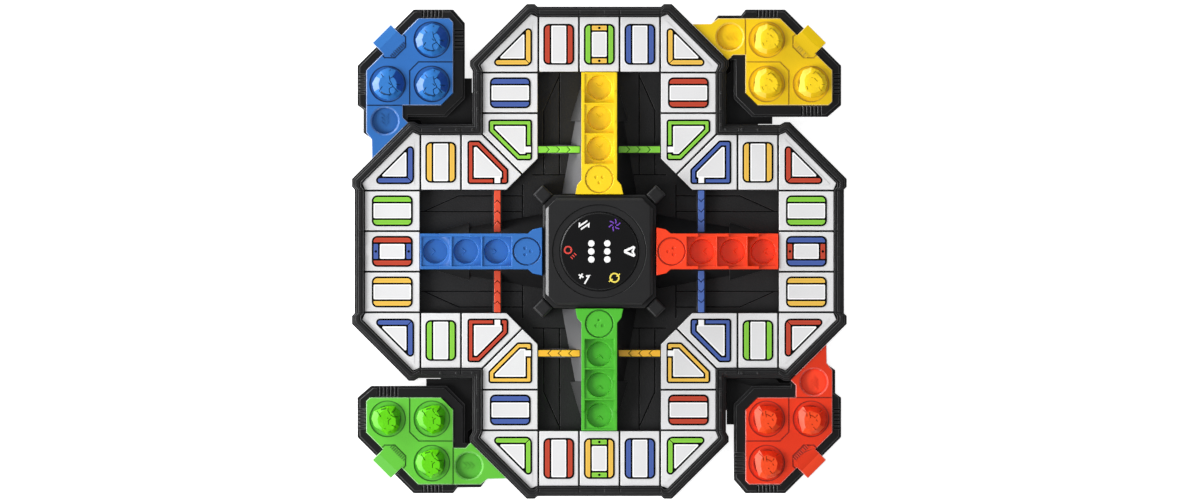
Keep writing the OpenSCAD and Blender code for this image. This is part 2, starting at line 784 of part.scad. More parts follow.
// Square block with cut corners and a bevelled top
module tower_shape(half, z0, z1, bevel) intersection() {
  bevel_block(half, z0, z1, bevel);
  rotate([0, 0, 45]) translate([0, 0, z1 / 2])
    cube([SQ2 * (2 * half - tower_cut), SQ2 * (2 * half - tower_cut), 2 * z1], center = true);
}
module tower_housing() color(BLACK) difference() {
  union() {
    difference() {
      union() {
        tower_shape(tower_half, well_z, tower_z - tower_cap_h, post_bevel);
        tower_shape(tower_half - tower_ledge, well_z, tower_z, tower_bevel);
      }
      tower_shape(tower_room, well_z - over, tower_z - tower_top_t, fit);
    }
    for (x = [-1, 1], y = [-1, 1])
      translate([x * hanger_x, y * hanger_y, board_top])
        cylinder(d = hanger_d, h = tower_z - tower_top_t / 2 - board_top);
  }
  translate([0, 0, board_top]) cylinder(d = bezel_d + 2 * fit, h = tower_z);
}
module tower_posts() color(BLACK) for (x = [-1, 1], y = [-1, 1])
  translate([x * post_at, y * post_at, 0]) rotate([0, 0, 45])
    bevel_block(post_w / 2, well_z, tower_z - post_drop, post_bevel);
module dice_bezel() color(BLACK) difference() {
  translate([0, 0, tower_z - tower_top_t]) cylinder(d = bezel_d, h = tower_top_t - bezel_drop);
  translate([0, 0, board_top]) cylinder(d = button_d + 2 * button_gap, h = tower_z);
}
module dice_button() {
  r = button_d / 2;
  top = tower_z + button_crown;
  under = tower_z - tower_top_t - fit;
  color("#141414") difference() {
    rotate_extrude() polygon([
      [0, top - button_t], [r - button_wall, top - button_t], [r - button_wall, under - flange_t],
      [r + flange_w, under - flange_t], [r + flange_w, under], [r, under],
      [r, top - button_edge], [r - button_edge, top], [0, top]
    ]);
    pip_lens_shapes();
    symbol_lens_shapes();
  }
  color("#141414") translate([0, 0, board_top + switch_h + button_travel + fit])
    cylinder(d = stem_d, h = top - button_t - board_top - switch_h - button_travel);
}
module pip_lens_shapes() translate([0, 0, tower_z + button_crown - lens_t])
  for (x = [-1, 1], y = [-1, 0, 1])
    translate([x * pip_pitch, y * pip_pitch, 0]) cylinder(d = pip_d, h = lens_t);
// Six generic symbols, one every sixty degrees, all upright
module symbol_lens_shapes() translate([0, 0, tower_z + button_crown - lens_t]) linear_extrude(lens_t)
  for (n = [0:5]) translate([symbol_r * cos(60 * n), symbol_r * sin(60 * n)]) symbol(n, symbol_size / 2);
module ring(r) difference() {
  circle(r + stroke_w / 2);
  circle(r - stroke_w / 2);
}
module symbol(n, s) {
  // Hollow arrowhead
  if (n == 0) difference() {
    polygon([
      [-s, s / 4], [s * 0.7, s], [s, s * 0.7], [s * 0.7, 0], [s, -s * 0.7], [s * 0.7, -s], [-s, -s / 4]
    ]);
    polygon([[-s / 2, 0], [s * 0.6, s / 2], [s * 0.3, 0], [s * 0.6, -s / 2]]);
  }
  // Whirl of six bent arms
  if (n == 1) for (a = [0:60:300]) rotate(a)
    polygon(stroke_points([[s * 0.3, 0], [s * 0.6, 0], [s, s * 0.4]], stroke_w * 0.7));
  // Two half arrows that pass each other
  if (n == 2) rotate(35) for (a = [0, 180]) rotate(a)
    polygon(stroke_points([[-s * 0.9, -s * 0.3], [s * 0.8, -s * 0.3], [s * 0.4, -s * 0.8]], stroke_w));
  // Ball with a trail
  if (n == 3) {
    translate([-s * 0.15, s * 0.25]) ring(s * 0.6);
    rotate(-45) for (y = [-0.45, 0, 0.45])
      polygon(stroke_points([[s * 0.85, s * y], [s * 1.4, s * y]], stroke_w * 0.7));
  }
  // Plus one
  if (n == 4) rotate(-30) {
    translate([-s * 0.6, 0]) for (a = [0, 90]) rotate(a) square([s, stroke_w], center = true);
    polygon(stroke_points([[s * 0.15, s * 0.4], [s * 0.6, s * 0.75], [s * 0.6, -s * 0.9]], stroke_w));
  }
  // Ball with a slanted ring
  if (n == 5) {
    ring(s * 0.75);
    rotate(35) for (x = [-1, 1])
      polygon(stroke_points([[x * s * 1.2, 0], [x * s * 0.4, 0]], stroke_w * 0.8));
  }
}
module pip_lenses() color("white") pip_lens_shapes();
module symbol_lenses() color("#c9c2d6") symbol_lens_shapes();
module circuit_board() color("#1f6b3a") translate([0, 0, board_top - board_t / 2])
  cube([2 * board_x, 2 * board_y, board_t], center = true);
module lights() color("#f4f1dc") translate([0, 0, board_top]) {
  for (n = [0:5]) rotate([0, 0, 60 * n]) translate([symbol_r, 0, light_h / 2])
    cube([light_w, light_w, light_h], center = true);
}
module push_switch() color("#55585c") translate([0, 0, board_top + switch_h / 2])
  cube([switch_w, switch_w, switch_h], center = true);
// Soft dome that lifts the button back up
module return_dome() {
  top = tower_z + button_crown - button_t;
  color("#c7cbd0") rotate_extrude() polygon([
    [dome_d / 2 - dome_wall, board_top], [dome_d / 2, board_top],
    [dome_top / 2, top], [dome_top / 2 - dome_wall, top]
  ]);
}
module speaker() color("#3a3d42") translate([0, 0, box_top]) {
  cylinder(d = speaker_d, h = speaker_h / 2);
  cylinder(d = speaker_d - 2 * speaker_h, h = speaker_h);
}

// Power

module battery_box() color("#3b3b3d") difference() {
  span([-box_x, -box_y, cover_z], [box_x, box_y, box_top]);
  span(
    [box_wall - box_x, box_wall - box_y, cover_z - over],
    [box_x - box_wall, box_y - box_wall, box_top - box_wall]
  );
}
module battery_cells() color("#b9bcc0") cell_places() rotate([0, 90, 0]) {
  cylinder(d = cell_d, h = cell_len - cell_tip, center = true);
  cylinder(d = cell_d / 3, h = cell_len, center = true);
}
module cell_places() for (n = [0:cell_count - 1])
  translate([0, (n - (cell_count - 1) / 2) * cell_pitch, cell_z]) children();
module battery_contacts() color("#d9d7cf") cell_places() for (x = [-1, 1])
  translate([x * (box_x - box_wall - contact_t / 2), 0, 0])
    cube([contact_t, cell_d - 2 * cell_tip, cell_d - 2 * cell_tip], center = true);
module door_opening() {
  span([box_wall - box_x, box_wall - box_y, 0], [box_x - box_wall, box_y - box_wall, cover_z + over]);
  span([-door_tab, -box_y - door_tab, 0], [door_tab, 0, cover_z - cover_t / 2]);
}
module battery_door() color(BLACK) difference() {
  union() {
    span(
      [box_wall - box_x + door_gap, box_wall - box_y + door_gap, foot_h],
      [box_x - box_wall - door_gap, box_y - box_wall - door_gap, cover_z]
    );
    span(
      [door_gap - door_tab, door_gap - box_y - door_tab, foot_h],
      [door_tab - door_gap, 0, cover_z - cover_t / 2 - door_gap]
    );
  }
  translate([0, -box_y - door_tab / 2, 0]) cylinder(d = screw_d + fit, h = cover_z);
}
module door_screw() color("#8a8d90") translate([0, -box_y - door_tab / 2, foot_h - head_h]) {
  cylinder(d = head_d, h = head_h);
  cylinder(d = screw_d - fit / 2, h = head_h + cover_t / 2 - door_gap);
}
module power_switch() color("#55585c") translate([knob_travel / 2, switch_y, cover_z + switch_body[2] / 2])
  cube(switch_body, center = true);
module power_knob() color("#e8e8e8") translate([0, switch_y, 0])
  span(
    [-knob_size[0] / 2, -knob_size[1] / 2, foot_h - knob_out],
    [knob_size[0] / 2, knob_size[1] / 2, cover_z - fit / 2]
  );

// Pods

module pod_tray(k) color(BLACK) pod(k) difference() {
  union() {
    slab(tray_points(0), 0, tray_z - rim_step);
    slab(tray_points(tray_lip), 0, tray_z);
    slab(arm_points(), 0, arm_z);
    slab(skirt_points(), 0, foot_h - skirt_gap);
    rotate([0, 0, 45])
      span(
        [arm_half * SQ2 - tongue_len, -tongue_w / 2, tongue_z],
        [pod_c * SQ2 - pod_cell, tongue_w / 2, tongue_z + tongue_t]
      );
  }
  slab(plate_points(-fit), plate_bed, plate_z + over);
  slab(plate_points(cavity_in), tray_floor, plate_z);
  rotate([0, 0, 45])
    span(
      [pod_dist - cavity_in, -tab_w / 2 - tab_gap, plate_bed],
      [pod_dist + 2 * tab_len, tab_w / 2 + tab_gap, plate_z + over]
    );
  for (n = [0:rib_count - 1]) {
    along = (n - (rib_count - 1) / 2) * rib_pitch - rib_cut / 2;
    translate([pod_c + along, pod_hi + rib_land, tray_z - rib_depth]) rib_slot();
    translate([pod_hi + rib_land, pod_c + along + rib_cut, tray_z - rib_depth])
      rotate([0, 0, -90]) rib_slot();
    translate([pod_lo - rib_land, pod_c + pod_pitch + along, tray_z - rib_depth])
      rotate([0, 0, 90]) rib_slot();
  }
}
// Slot across the tray's rim
module rib_slot() cube([rib_cut, 2 * tray_rim, rib_depth + over]);
// Centres of the three token sockets
function socket_at(n) = [[pod_c, pod_c + pod_pitch], [pod_c + pod_pitch, pod_c], [pod_c, pod_c]][n];
module pod_plate(k, colour) color(COLOURS[colour]) pod(k) {
  mid = pod_c + pod_pitch / 2;
  bend = mid - chamfer_large / SQ2;
  difference() {
    union() {
      slab(plate_points(0), plate_bed, plate_z);
      finger_tab();
    }
    for (n = [0:2]) translate([socket_at(n)[0], socket_at(n)[1], plate_z]) {
      translate([0, 0, -socket_depth]) cylinder(d = socket_d, h = socket_depth + over);
      translate([0, 0, -socket_depth]) cup_cut(cup_d, taper / 4);
    }
    translate([start_u, start_v, plate_z]) cup_cut(start_d, start_mouth);
    groove([[pod_lo, mid], [bend, mid], [mid, bend], [mid, pod_lo]], plate_z);
    groove([[start_in, pod_lo], [pod_hi, pod_lo]], plate_z);
    pad_groove();
  }
  for (n = [-1, 0, 1])
    translate([start_u, start_v + n * start_mark_pitch, plate_z]) cup_mark(start_mark_w);
  rotate([0, 0, 45]) translate([pod_dist - pad_depth + line_w + pad_rib_len / 2, 0, plate_z])
    for (n = [0:pad_ribs - 1])
      translate([0, (n - (pad_ribs - 1) / 2) * pad_rib_pitch, 0])
        cube([pad_rib_len, pad_rib_w, 2 * pad_rib_h], center = true);
}
// Tab beside the slanted edge, bent down at its fold line
module finger_tab() rotate([0, 0, 45]) rotate([90, 0, 0]) linear_extrude(tab_w, center = true)
  polygon([
    [pod_dist - over, plate_z], [pod_dist + tab_fold, plate_z], [pod_dist + tab_len, plate_z - tab_droop],
    [pod_dist + tab_len, plate_z - tab_droop - tab_t], [pod_dist + tab_fold, plate_z - tab_t],
    [pod_dist - over, plate_z - tab_t]
  ]);
// Line around the ribbed pad behind the finger tab
module pad_groove() {
  inner = pod_dist - pad_depth;
  rotate([0, 0, 45]) groove([
    [pod_dist, pad_half], [inner + pad_cut, pad_half], [inner, pad_half - pad_cut],
    [inner, pad_cut - pad_half], [inner + pad_cut, -pad_half], [pod_dist, -pad_half]
  ], plate_z);
}

// Flat-topped rock on a round peg, standing in socket n of pod k
module token(k, n, colour) color(COLOURS[colour]) pod(k)
  translate([socket_at(n)[0], socket_at(n)[1], plate_z - socket_depth]) {
    translate([0, 0, -peg_len]) cylinder(d = peg_d - 2 * taper, h = peg_len + fit);
    rotate([0, 0, token_turn * n]) difference() {
      cylinder(d = token_d, h = token_h);
      for (a = [0:token_sides - 1]) {
        tilt = 67 + 5 * sin(150 * a);
        reach = token_d * (0.465 + 0.02 * cos(130 * a));
        rock_facet(a * 360 / token_sides + 7 * sin(110 * a), tilt, reach * sin(tilt));
      }
      for (a = [0:token_tops - 1])
        rock_facet(a * 360 / token_tops + 25, 9 + 4 * cos(100 * a), token_h * 0.94);
    }
  }
// Half space beyond one facet: its compass angle, tilt and distance from the foot's centre
module rock_facet(angle, tilt, dist) rotate([0, 0, angle]) rotate([0, tilt, 0])
  translate([0, 0, dist + token_h]) cube([4 * token_d, 4 * token_d, 2 * token_h], center = true);

track_frame();
well_panel();
base_cover();
case_screws();
rubber_feet();
tiles_straight();
tiles_corner();
tiles_elbow();
tiles_home();
labels(GREEN);  // labels_green
labels(BLUE);  // labels_blue
labels(YELLOW);  // labels_yellow
labels(RED);  // labels_red
ramp_bases();
ramp(0, YELLOW);  // ramp_yellow
ramp(1, RED);  // ramp_red
ramp(2, GREEN);  // ramp_green
ramp(3, BLUE);  // ramp_blue
bridge(0, GREEN);  // bridge_green
bridge(1, BLUE);  // bridge_blue
bridge(2, YELLOW);  // bridge_yellow
bridge(3, RED);  // bridge_red
tower_housing();
tower_posts();
dice_bezel();
dice_button();
pip_lenses();
symbol_lenses();
circuit_board();
lights();
push_switch();
return_dome();
speaker();
battery_box();
battery_cells();
battery_contacts();
battery_door();
door_screw();
power_switch();
power_knob();
pod_tray(0);  // pod_tray_blue
pod_tray(1);  // pod_tray_yellow
pod_tray(2);  // pod_tray_red
pod_tray(3);  // pod_tray_green
pod_plate(0, BLUE);  // pod_plate_blue
pod_plate(1, YELLOW);  // pod_plate_yellow
pod_plate(2, RED);  // pod_plate_red
pod_plate(3, GREEN);  // pod_plate_green
token(0, 0, BLUE);  // token_blue_1
token(0, 1, BLUE);  // token_blue_2
token(0, 2, BLUE);  // token_blue_3
token(1, 0, YELLOW);  // token_yellow_1
token(1, 1, YELLOW);  // token_yellow_2
token(1, 2, YELLOW);  // token_yellow_3
token(2, 0, RED);  // token_red_1
token(2, 1, RED);  // token_red_2
token(2, 2, RED);  // token_red_3
token(3, 0, GREEN);  // token_green_1
token(3, 1, GREEN);  // token_green_2
token(3, 2, GREEN);  // token_green_3
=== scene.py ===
"""Looks of the electronic ludo board: rounded shells, printed labels, rock tokens and studio light."""
import json
import math
import random

import bmesh
import bpy
from mathutils import Matrix, Vector, geometry
from mathutils.bvhtree import BVHTree


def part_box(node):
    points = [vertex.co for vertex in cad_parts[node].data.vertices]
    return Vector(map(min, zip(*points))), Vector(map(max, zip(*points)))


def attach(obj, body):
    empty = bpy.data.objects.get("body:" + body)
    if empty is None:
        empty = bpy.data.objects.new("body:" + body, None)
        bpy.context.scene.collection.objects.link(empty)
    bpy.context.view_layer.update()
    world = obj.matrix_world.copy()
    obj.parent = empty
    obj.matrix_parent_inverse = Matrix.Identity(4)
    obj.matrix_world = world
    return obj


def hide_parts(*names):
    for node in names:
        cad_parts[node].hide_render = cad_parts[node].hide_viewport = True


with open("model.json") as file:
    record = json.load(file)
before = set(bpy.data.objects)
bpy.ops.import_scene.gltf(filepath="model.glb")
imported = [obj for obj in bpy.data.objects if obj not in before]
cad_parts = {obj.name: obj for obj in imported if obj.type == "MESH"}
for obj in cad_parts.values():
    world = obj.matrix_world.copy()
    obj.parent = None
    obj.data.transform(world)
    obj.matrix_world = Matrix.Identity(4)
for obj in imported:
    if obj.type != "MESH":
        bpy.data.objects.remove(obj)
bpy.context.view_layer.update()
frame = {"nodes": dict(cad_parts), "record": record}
NODES = frame["nodes"]
BODY = {node: body for body, members in frame["record"]["behaviour"]["bodies"].items() for node in members}
COLOURS = ("green", "blue", "yellow", "red")
MM = 0.001

# Colours as sRGB codes, with factors of tone and shares of white

PLASTIC = {"green": "#4db82f", "blue": "#2f6db9", "yellow": "#f4d012", "red": "#f63e12"}
PLATE = {"green": "#62bf3c", "blue": "#2f6bb4", "yellow": "#eac30e", "red": "#e33716"}
ROCK = {"green": "#5ecb0c", "blue": "#3276c1", "yellow": "#f6d11a", "red": "#f04a1c"}
INK = {"green": "#8bd63c", "blue": "#4360b0", "yellow": "#f6c54c", "red": "#c83f20"}
BAR_PLASTIC = {"green": "#84d63e", "blue": "#4a6bb8", "yellow": "#f7b92c", "red": "#dd4a2a"}
# Painted shade: factors that darken the colour in grooves, cracks and socket rings
GROOVE_SHADE_TONE = {"green": 0.4, "blue": 0.3, "yellow": 0.75, "red": 0.5}
# Painted shade on the tab's ribs, strong on the green and blue pods and faint on the others
RIB_SHADE_TONE = {"green": 0.4, "blue": 0.3, "yellow": 0.95, "red": 0.95}
# Painted light on the rock facets: shares of white for the painted glint, and darker codes for the painted
# shade
GLINT_WHITE_SHARE = {"green": 0.06, "blue": 0.16, "yellow": 0.06, "red": 0.07}
ROCK_PAINTED_SHADE = {"green": "#3fa00c", "blue": "#1c489c", "yellow": "#f2c614", "red": "#e42c0a"}
# Painted shade: darker codes for the floor of the deep start cup
CUP_SHADE = {"green": "#48a02a", "blue": "#0f3ea2", "yellow": "#d9ab04", "red": "#b8240a"}
# Painted light and shade on the tab's outer fold and the cup's marks: lighter on the yellow and red pods,
# darker on the green and blue
FOLD = {"green": "#5cb43c", "blue": "#2d67aa", "yellow": "#ffd414", "red": "#fa4a28"}
SYMBOL_COLOURS = ("#f4f4f4", "#7a48c0", "#f4f4f4", "#d8453c", "#f4f4f4", "#f0dc5a")


def linear(code, tone=1.0, pale=0.0):
    """Linear colour of an sRGB hex code, scaled by a factor and mixed with a share of white."""
    channels = [int(code[i:i + 2], 16) / 255 for i in (1, 3, 5)]
    channels = [c / 12.92 if c <= 0.04045 else ((c + 0.055) / 1.055) ** 2.4 for c in channels]
    return [min(1, tone * c * (1 - pale) + pale) for c in channels] + [1]


# Materials

DRIFT = 25.0
FINE_SHARE = 0.6
RAMP_LOW, RAMP_HIGH = 0.35, 0.65
GLOSS_SPREAD = 0.06


def texture(tree, place, size, detail=2.0):
    """Noise with features of a given size, in mm, fixed to the piece."""
    node = tree.nodes.new("ShaderNodeTexNoise")
    node.inputs["Scale"].default_value = 1 / (size * MM)
    node.inputs["Detail"].default_value = detail
    tree.links.new(place.outputs["Object"], node.inputs["Vector"])
    return node.outputs["Fac"]


def math_node(tree, operation, first, second):
    """Result of a sum, product or maximum of a socket and a socket or number."""
    node = tree.nodes.new("ShaderNodeMath")
    node.operation = operation
    tree.links.new(first, node.inputs[0])
    if isinstance(second, float):
        node.inputs[1].default_value = second
    else:
        tree.links.new(second, node.inputs[1])
    return node.outputs[0]


def moulded(name, code, tone=1.0, pale=0.0, rough=0.4, shade=0.06, grain=0.5, relief=0.06, **sockets):
    """Moulded plastic: fine grain in tone, gloss and relief, and a slow drift of tone. Sizes in mm."""
    mat = bpy.data.materials.new(name)
    mat.use_nodes = True
    tree = mat.node_tree
    shader = tree.nodes["Principled BSDF"]
    place = tree.nodes.new("ShaderNodeTexCoord")
    fine = texture(tree, place, grain)
    slow = texture(tree, place, DRIFT, detail=3.0)
    parts = [math_node(tree, "MULTIPLY", *part) for part in ((fine, FINE_SHARE), (slow, 1 - FINE_SHARE))]
    blend = math_node(tree, "ADD", *parts)
    ramp = tree.nodes.new("ShaderNodeValToRGB")
    stops = ((RAMP_LOW, 1 - shade), (RAMP_HIGH, 1 + shade))
    for stop, (position, factor) in zip(ramp.color_ramp.elements, stops):
        stop.position = position
        stop.color = linear(code, tone * factor, pale)
    tree.links.new(blend, ramp.inputs["Fac"])
    tree.links.new(ramp.outputs["Color"], shader.inputs["Base Color"])
    gloss = tree.nodes.new("ShaderNodeMapRange")
    gloss.inputs["To Min"].default_value = rough - GLOSS_SPREAD
    gloss.inputs["To Max"].default_value = rough + GLOSS_SPREAD
    tree.links.new(blend, gloss.inputs["Value"])
    tree.links.new(gloss.outputs["Result"], shader.inputs["Roughness"])
    bump = tree.nodes.new("ShaderNodeBump")
    bump.inputs["Strength"].default_value = relief
    bump.inputs["Distance"].default_value = grain * MM
    tree.links.new(fine, bump.inputs["Height"])
    tree.links.new(bump.outputs["Normal"], shader.inputs["Normal"])
    for socket, value in sockets.items():
        shader.inputs[socket.replace("_", " ")].default_value = value
    return mat


def of_each(prefix, codes, **look):
    """One material per colour."""
    return {colour: moulded(prefix + colour, code, **look) for colour, code in codes.items()}


def toned(prefix, codes, tones, **look):
    """One material per colour, each with its own tone."""
    return {c: moulded(prefix + c, codes[c], tone=tones[c], **look) for c in COLOURS}


SATIN = {"shade": 0.14, "grain": 0.7, "relief": 0.1, "Specular_IOR_Level": 0.35}
PRINTED = {"rough": 0.45, "shade": 0.04, "relief": 0.02}
BLACK = moulded("black_satin", "#1e1e1f", **SATIN)
TRAY = moulded("tray_black", "#151516", **SATIN)
TOWER = moulded("tower_black", "#232324", **SATIN)
# Painted highlight: a lighter grey for the rounded edges of the black pieces
BLACK_EDGE_HIGHLIGHT = moulded("black_painted_edge_highlight", "#3a3a3b", shade=0.1, rough=0.34)
PANEL = moulded(
    "panel_black", "#202021", rough=0.46, shade=0.2, grain=0.9, relief=0.2, Specular_IOR_Level=0.35)
TILE = moulded("tile_grey", "#dcdcdd", rough=0.5, shade=0.07, grain=0.9)
# Painted highlight: a paler grey for the rounded edges of the tiles
TILE_EDGE_HIGHLIGHT = moulded("tile_painted_edge_highlight", "#f0f0f1", shade=0.02)
PAPER = moulded("label_white", "#fbfbfb", rough=0.45, shade=0.01, relief=0.02)
LABEL_GREY = moulded("label_grey", "#dcdcdd", rough=0.45, shade=0.03, relief=0.02)
INK_BLACK = moulded("ink_black", "#040404", rough=0.6, shade=0.05, relief=0.02, Specular_IOR_Level=0.1)
INKS = of_each("ink_", INK, **PRINTED)
INK_CORES = of_each("ink_core_", INK, tone=0.84, **PRINTED)
PLASTICS = of_each("plastic_", PLASTIC, rough=0.36, shade=0.04, relief=0.04, Specular_IOR_Level=0.35)
GROOVE_SHADES = toned("groove_", PLASTIC, GROOVE_SHADE_TONE, shade=0.05)
PLATES = of_each("plate_", PLATE, rough=0.36, shade=0.05, relief=0.04, Specular_IOR_Level=0.2)
# Painted highlight: a paler colour for the rounded edges of the plates
PLATE_EDGE_HIGHLIGHTS = of_each("plate_edge_", PLATE, pale=0.28, rough=0.3, shade=0.03, relief=0.03)
PLATE_GROOVE_SHADES = toned("plate_groove_", PLATE, GROOVE_SHADE_TONE, shade=0.05)
CUP_SHADES = of_each("cup_painted_shade_", CUP_SHADE, rough=0.4, shade=0.05, Specular_IOR_Level=0.15)
RIB_SHADES = toned("rib_painted_shade_", PLATE, RIB_SHADE_TONE, shade=0.05)
# Painted highlight: a paler plate colour on the start cup's mouth and the plate's other slopes
MOUTH_HIGHLIGHTS = of_each("mouth_painted_highlight_", PLATE, pale=0.06, rough=0.4, shade=0.04, Specular_IOR_Level=0.2)
FOLD_LIGHT_SHADE = of_each("fold_painted_light_", FOLD, rough=0.36, shade=0.04, Specular_IOR_Level=0.2)
BARS = of_each("bar_", BAR_PLASTIC, rough=0.36, shade=0.05)
# Painted highlight: lighter colours for the rounded edges of the bars
BAR_EDGE_HIGHLIGHTS = of_each("bar_painted_edge_highlight_", BAR_PLASTIC, tone=1.25, rough=0.3, shade=0.03)
BAR_GROOVE_SHADES = of_each("bar_groove_painted_shade_", BAR_PLASTIC, tone=0.3, shade=0.05)
# Painted shadow for the floors of the well panel's lines
SHADOW = moulded("groove_painted_shadow", "#0c0c0d", rough=0.6, shade=0.1, Specular_IOR_Level=0.2)
DULL = {"grain": 1.2, "relief": 0.1, "Specular_IOR_Level": 0.2}
ROCKS = of_each("rock_", ROCK, rough=0.34, **DULL)
ROCK_PAINTED_GLINTS = {
    c: moulded("rock_glint_" + c, ROCK[c], pale=GLINT_WHITE_SHARE[c], rough=0.42, **DULL) for c in COLOURS}
ROCK_SHADE_FACETS = of_each("rock_painted_shade_", ROCK_PAINTED_SHADE, rough=0.4, **DULL)
# Painted shade on the crack walls, by the grooves' factors
ROCK_CRACK_SHADES = toned("rock_crack_painted_shade_", ROCK, GROOVE_SHADE_TONE, rough=0.5)
ROCK_SHADOW_SILLS = of_each("rock_painted_shadow_", ROCK, tone=0.12, rough=0.6, Specular_IOR_Level=0.1)
BUTTON = moulded("button_black", "#111112", rough=0.25, shade=0.1, relief=0.01)
# Painted highlight: a lighter black for the rounded edge of the dice button
BUTTON_EDGE_HIGHLIGHT = moulded("button_edge", "#242425", rough=0.3, shade=0.05)
# Painted highlight: a grey for the tower's left chamfer, standing in for the reflection of the left lamp
TOWER_HIGHLIGHT = moulded("tower_painted_highlight", "#7d7d7e", rough=0.35, shade=0.05)
# Painted sheen: greys for the fin faces that look left, standing in for the reflection of the left lamp
FIN_FAINT_SHEEN = moulded("fin_painted_sheen_faint", "#3a3a3b", rough=0.35, shade=0.1)
FIN_STRONG_SHEEN = moulded("fin_painted_sheen_strong", "#68686a", rough=0.35, shade=0.1)
LENS = moulded("lens_white", "#f6f6f6", rough=0.25, shade=0.02, relief=0.01)
SYMBOLS = [
    moulded(f"symbol_{n}", code, rough=0.25, shade=0.03, relief=0.01)
    for n, code in enumerate(SYMBOL_COLOURS)]
STEEL = moulded("screw_steel", "#8d9093", rough=0.3, shade=0.08, Metallic=1.0)
RUBBER = moulded("foot_rubber", "#1b1b1b", rough=0.7, shade=0.15, grain=0.8, relief=0.3)
KNOB = moulded("knob_white", "#e6e6e4", shade=0.04)
INNER = {
    "circuit_board": moulded("circuit_green", "#1f6b3a", shade=0.12, grain=2.0),
    "lights": moulded("light_white", "#f4f1dc", rough=0.3, shade=0.03),
    "push_switch": moulded("switch_grey", "#55585c"),
    "return_dome": moulded("dome_silicone", "#c7cbd0", rough=0.45, Subsurface_Weight=0.2),
    "speaker": moulded("speaker_grey", "#3a3d42", rough=0.5),
    "battery_box": moulded("box_black", "#3b3b3d", rough=0.5, grain=0.7, relief=0.15),
    "battery_cells": moulded("cell_jacket", "#3f6fb5", rough=0.3, Metallic=0.4),
    "battery_contacts": moulded("contact_steel", "#c9c7bf", rough=0.25, Metallic=1.0),
    "power_switch": moulded("switch_case", "#4a4c50"),
}

# Mesh helpers, with the material slots that the painted shells share

MAIN, EDGE, GROOVE, HOLLOW, FOLDED, RIB, MOUTH = range(7)
BESIDE = -1
BEND = 30
SMOOTH_BELOW = math.radians(20)
WALL_ANGLE = math.radians(30)
FLAT = 0.99
GROOVE_W = 1.4
LEAST_GROOVE = 3.0
SAME_PLANE = math.radians(0.5)
COPLANAR = 0.9999
CAD_WELD = 0.002
FILL_WELD = 1e-5
FILL_INSIDE = 1
QUAD = 4
ROUND_STEPS = 2
ROUNDING = {
    "track_frame": 0.25, "base_cover": 0.4, "battery_door": 0.3, "ramp_bases": 0.35, "tower_housing": 0.4,
    "tower_posts": 0.6, "dice_bezel": 0.2, "well_panel": 0.2, "tiles": 0.3, "ramp": 0.35, "pod_plate": 0.4,
    "bridge": 0.3, "pod_tray": 0.4, "dice_button": 0.35, "pip_lenses": 0.1, "rubber_feet": 0.5,
    "power_knob": 0.2, "case_screws": 0.2, "door_screw": 0.2, "symbol_lenses": 0.05,
}


def add_piece(name, bm, materials, node):
    """Makes a piece from a bmesh that stands for a CAD node and rides on its body."""
    mesh = bpy.data.meshes.new(name)
    bm.normal_update()
    bm.to_mesh(mesh)
    bm.free()
    for mat in materials:
        mesh.materials.append(mat)
    mesh.polygons.foreach_set("use_smooth", [True] * len(mesh.polygons))
    mesh.set_sharp_from_angle(angle=SMOOTH_BELOW)
    piece = bpy.data.objects.new(name, mesh)
    bpy.context.scene.collection.objects.link(piece)
    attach(piece, BODY[node])
    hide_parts(node)
    return piece


def cad_mesh(node):
    """Copy of a CAD node with its corners welded and its flat faces merged."""
    bm = bmesh.new()
    bm.from_mesh(NODES[node].data)
    bmesh.ops.remove_doubles(bm, verts=bm.verts, dist=CAD_WELD * MM)
    bmesh.ops.dissolve_limit(bm, angle_limit=SAME_PLANE, verts=bm.verts, edges=bm.edges)
    return bm


def flat_regions(bm):
    """Groups of neighbouring faces that lie in one plane and share a material."""
    done = set()
    for first in bm.faces:
        if first in done:
            continue
        done.add(first)
        region = [first]
        for face in region:
            for other in (f for edge in face.edges for f in edge.link_faces if f not in done):
                level = abs(other.normal.dot(first.normal)) > COPLANAR
                if level and other.material_index == first.material_index:
                    done.add(other)
                    region.append(other)
        yield region


def within(point, sides):
    """Whether a point lies inside the closed outlines that the sides make."""
    crossed = [
        point.x < a.x + (b.x - a.x) * (point.y - a.y) / (b.y - a.y)
        for a, b in sides if (a.y > point.y) != (b.y > point.y)]
    return sum(crossed) % 2 == 1


def refill(bm, region):
    """Fills a flat region with triangles from its rim, so that no face of it crosses itself."""
    normal = sum((face.normal * face.calc_area() for face in region), Vector()).normalized()
    across = normal.orthogonal().normalized()
    up = normal.cross(across)
    members = set(region)
    rim = [e for face in region for e in face.edges if sum(f in members for f in e.link_faces) == 1]
    verts = list(dict.fromkeys(vert for edge in rim for vert in edge.verts))
    number = {vert: n for n, vert in enumerate(verts)}
    flat = [Vector((vert.co.dot(across), vert.co.dot(up))) / MM for vert in verts]
    ends = [[number[vert] for vert in edge.verts] for edge in rim]
    sides = [(flat[a], flat[b]) for a, b in ends]
    points, _, triangles, origins, _, _ = geometry.delaunay_2d_cdt(
        flat, ends, [], FILL_INSIDE, FILL_WELD)
    level = normal * verts[0].co.dot(normal)
    material = region[0].material_index
    bmesh.ops.delete(bm, geom=region, context="FACES")
    for n, point in enumerate(points):
        if not origins[n]:
            origins[n].append(len(verts))
            verts.append(bm.verts.new((across * point.x + up * point.y) * MM + level))
    for triangle in triangles:
        corners = [verts[origins[n][0]] for n in triangle]
        middle = middle_of([points[n] for n in triangle])
        if within(middle, sides) and not bm.faces.get(corners):
            face = bm.faces.new(corners)
            face.material_index = material
            face.smooth = True


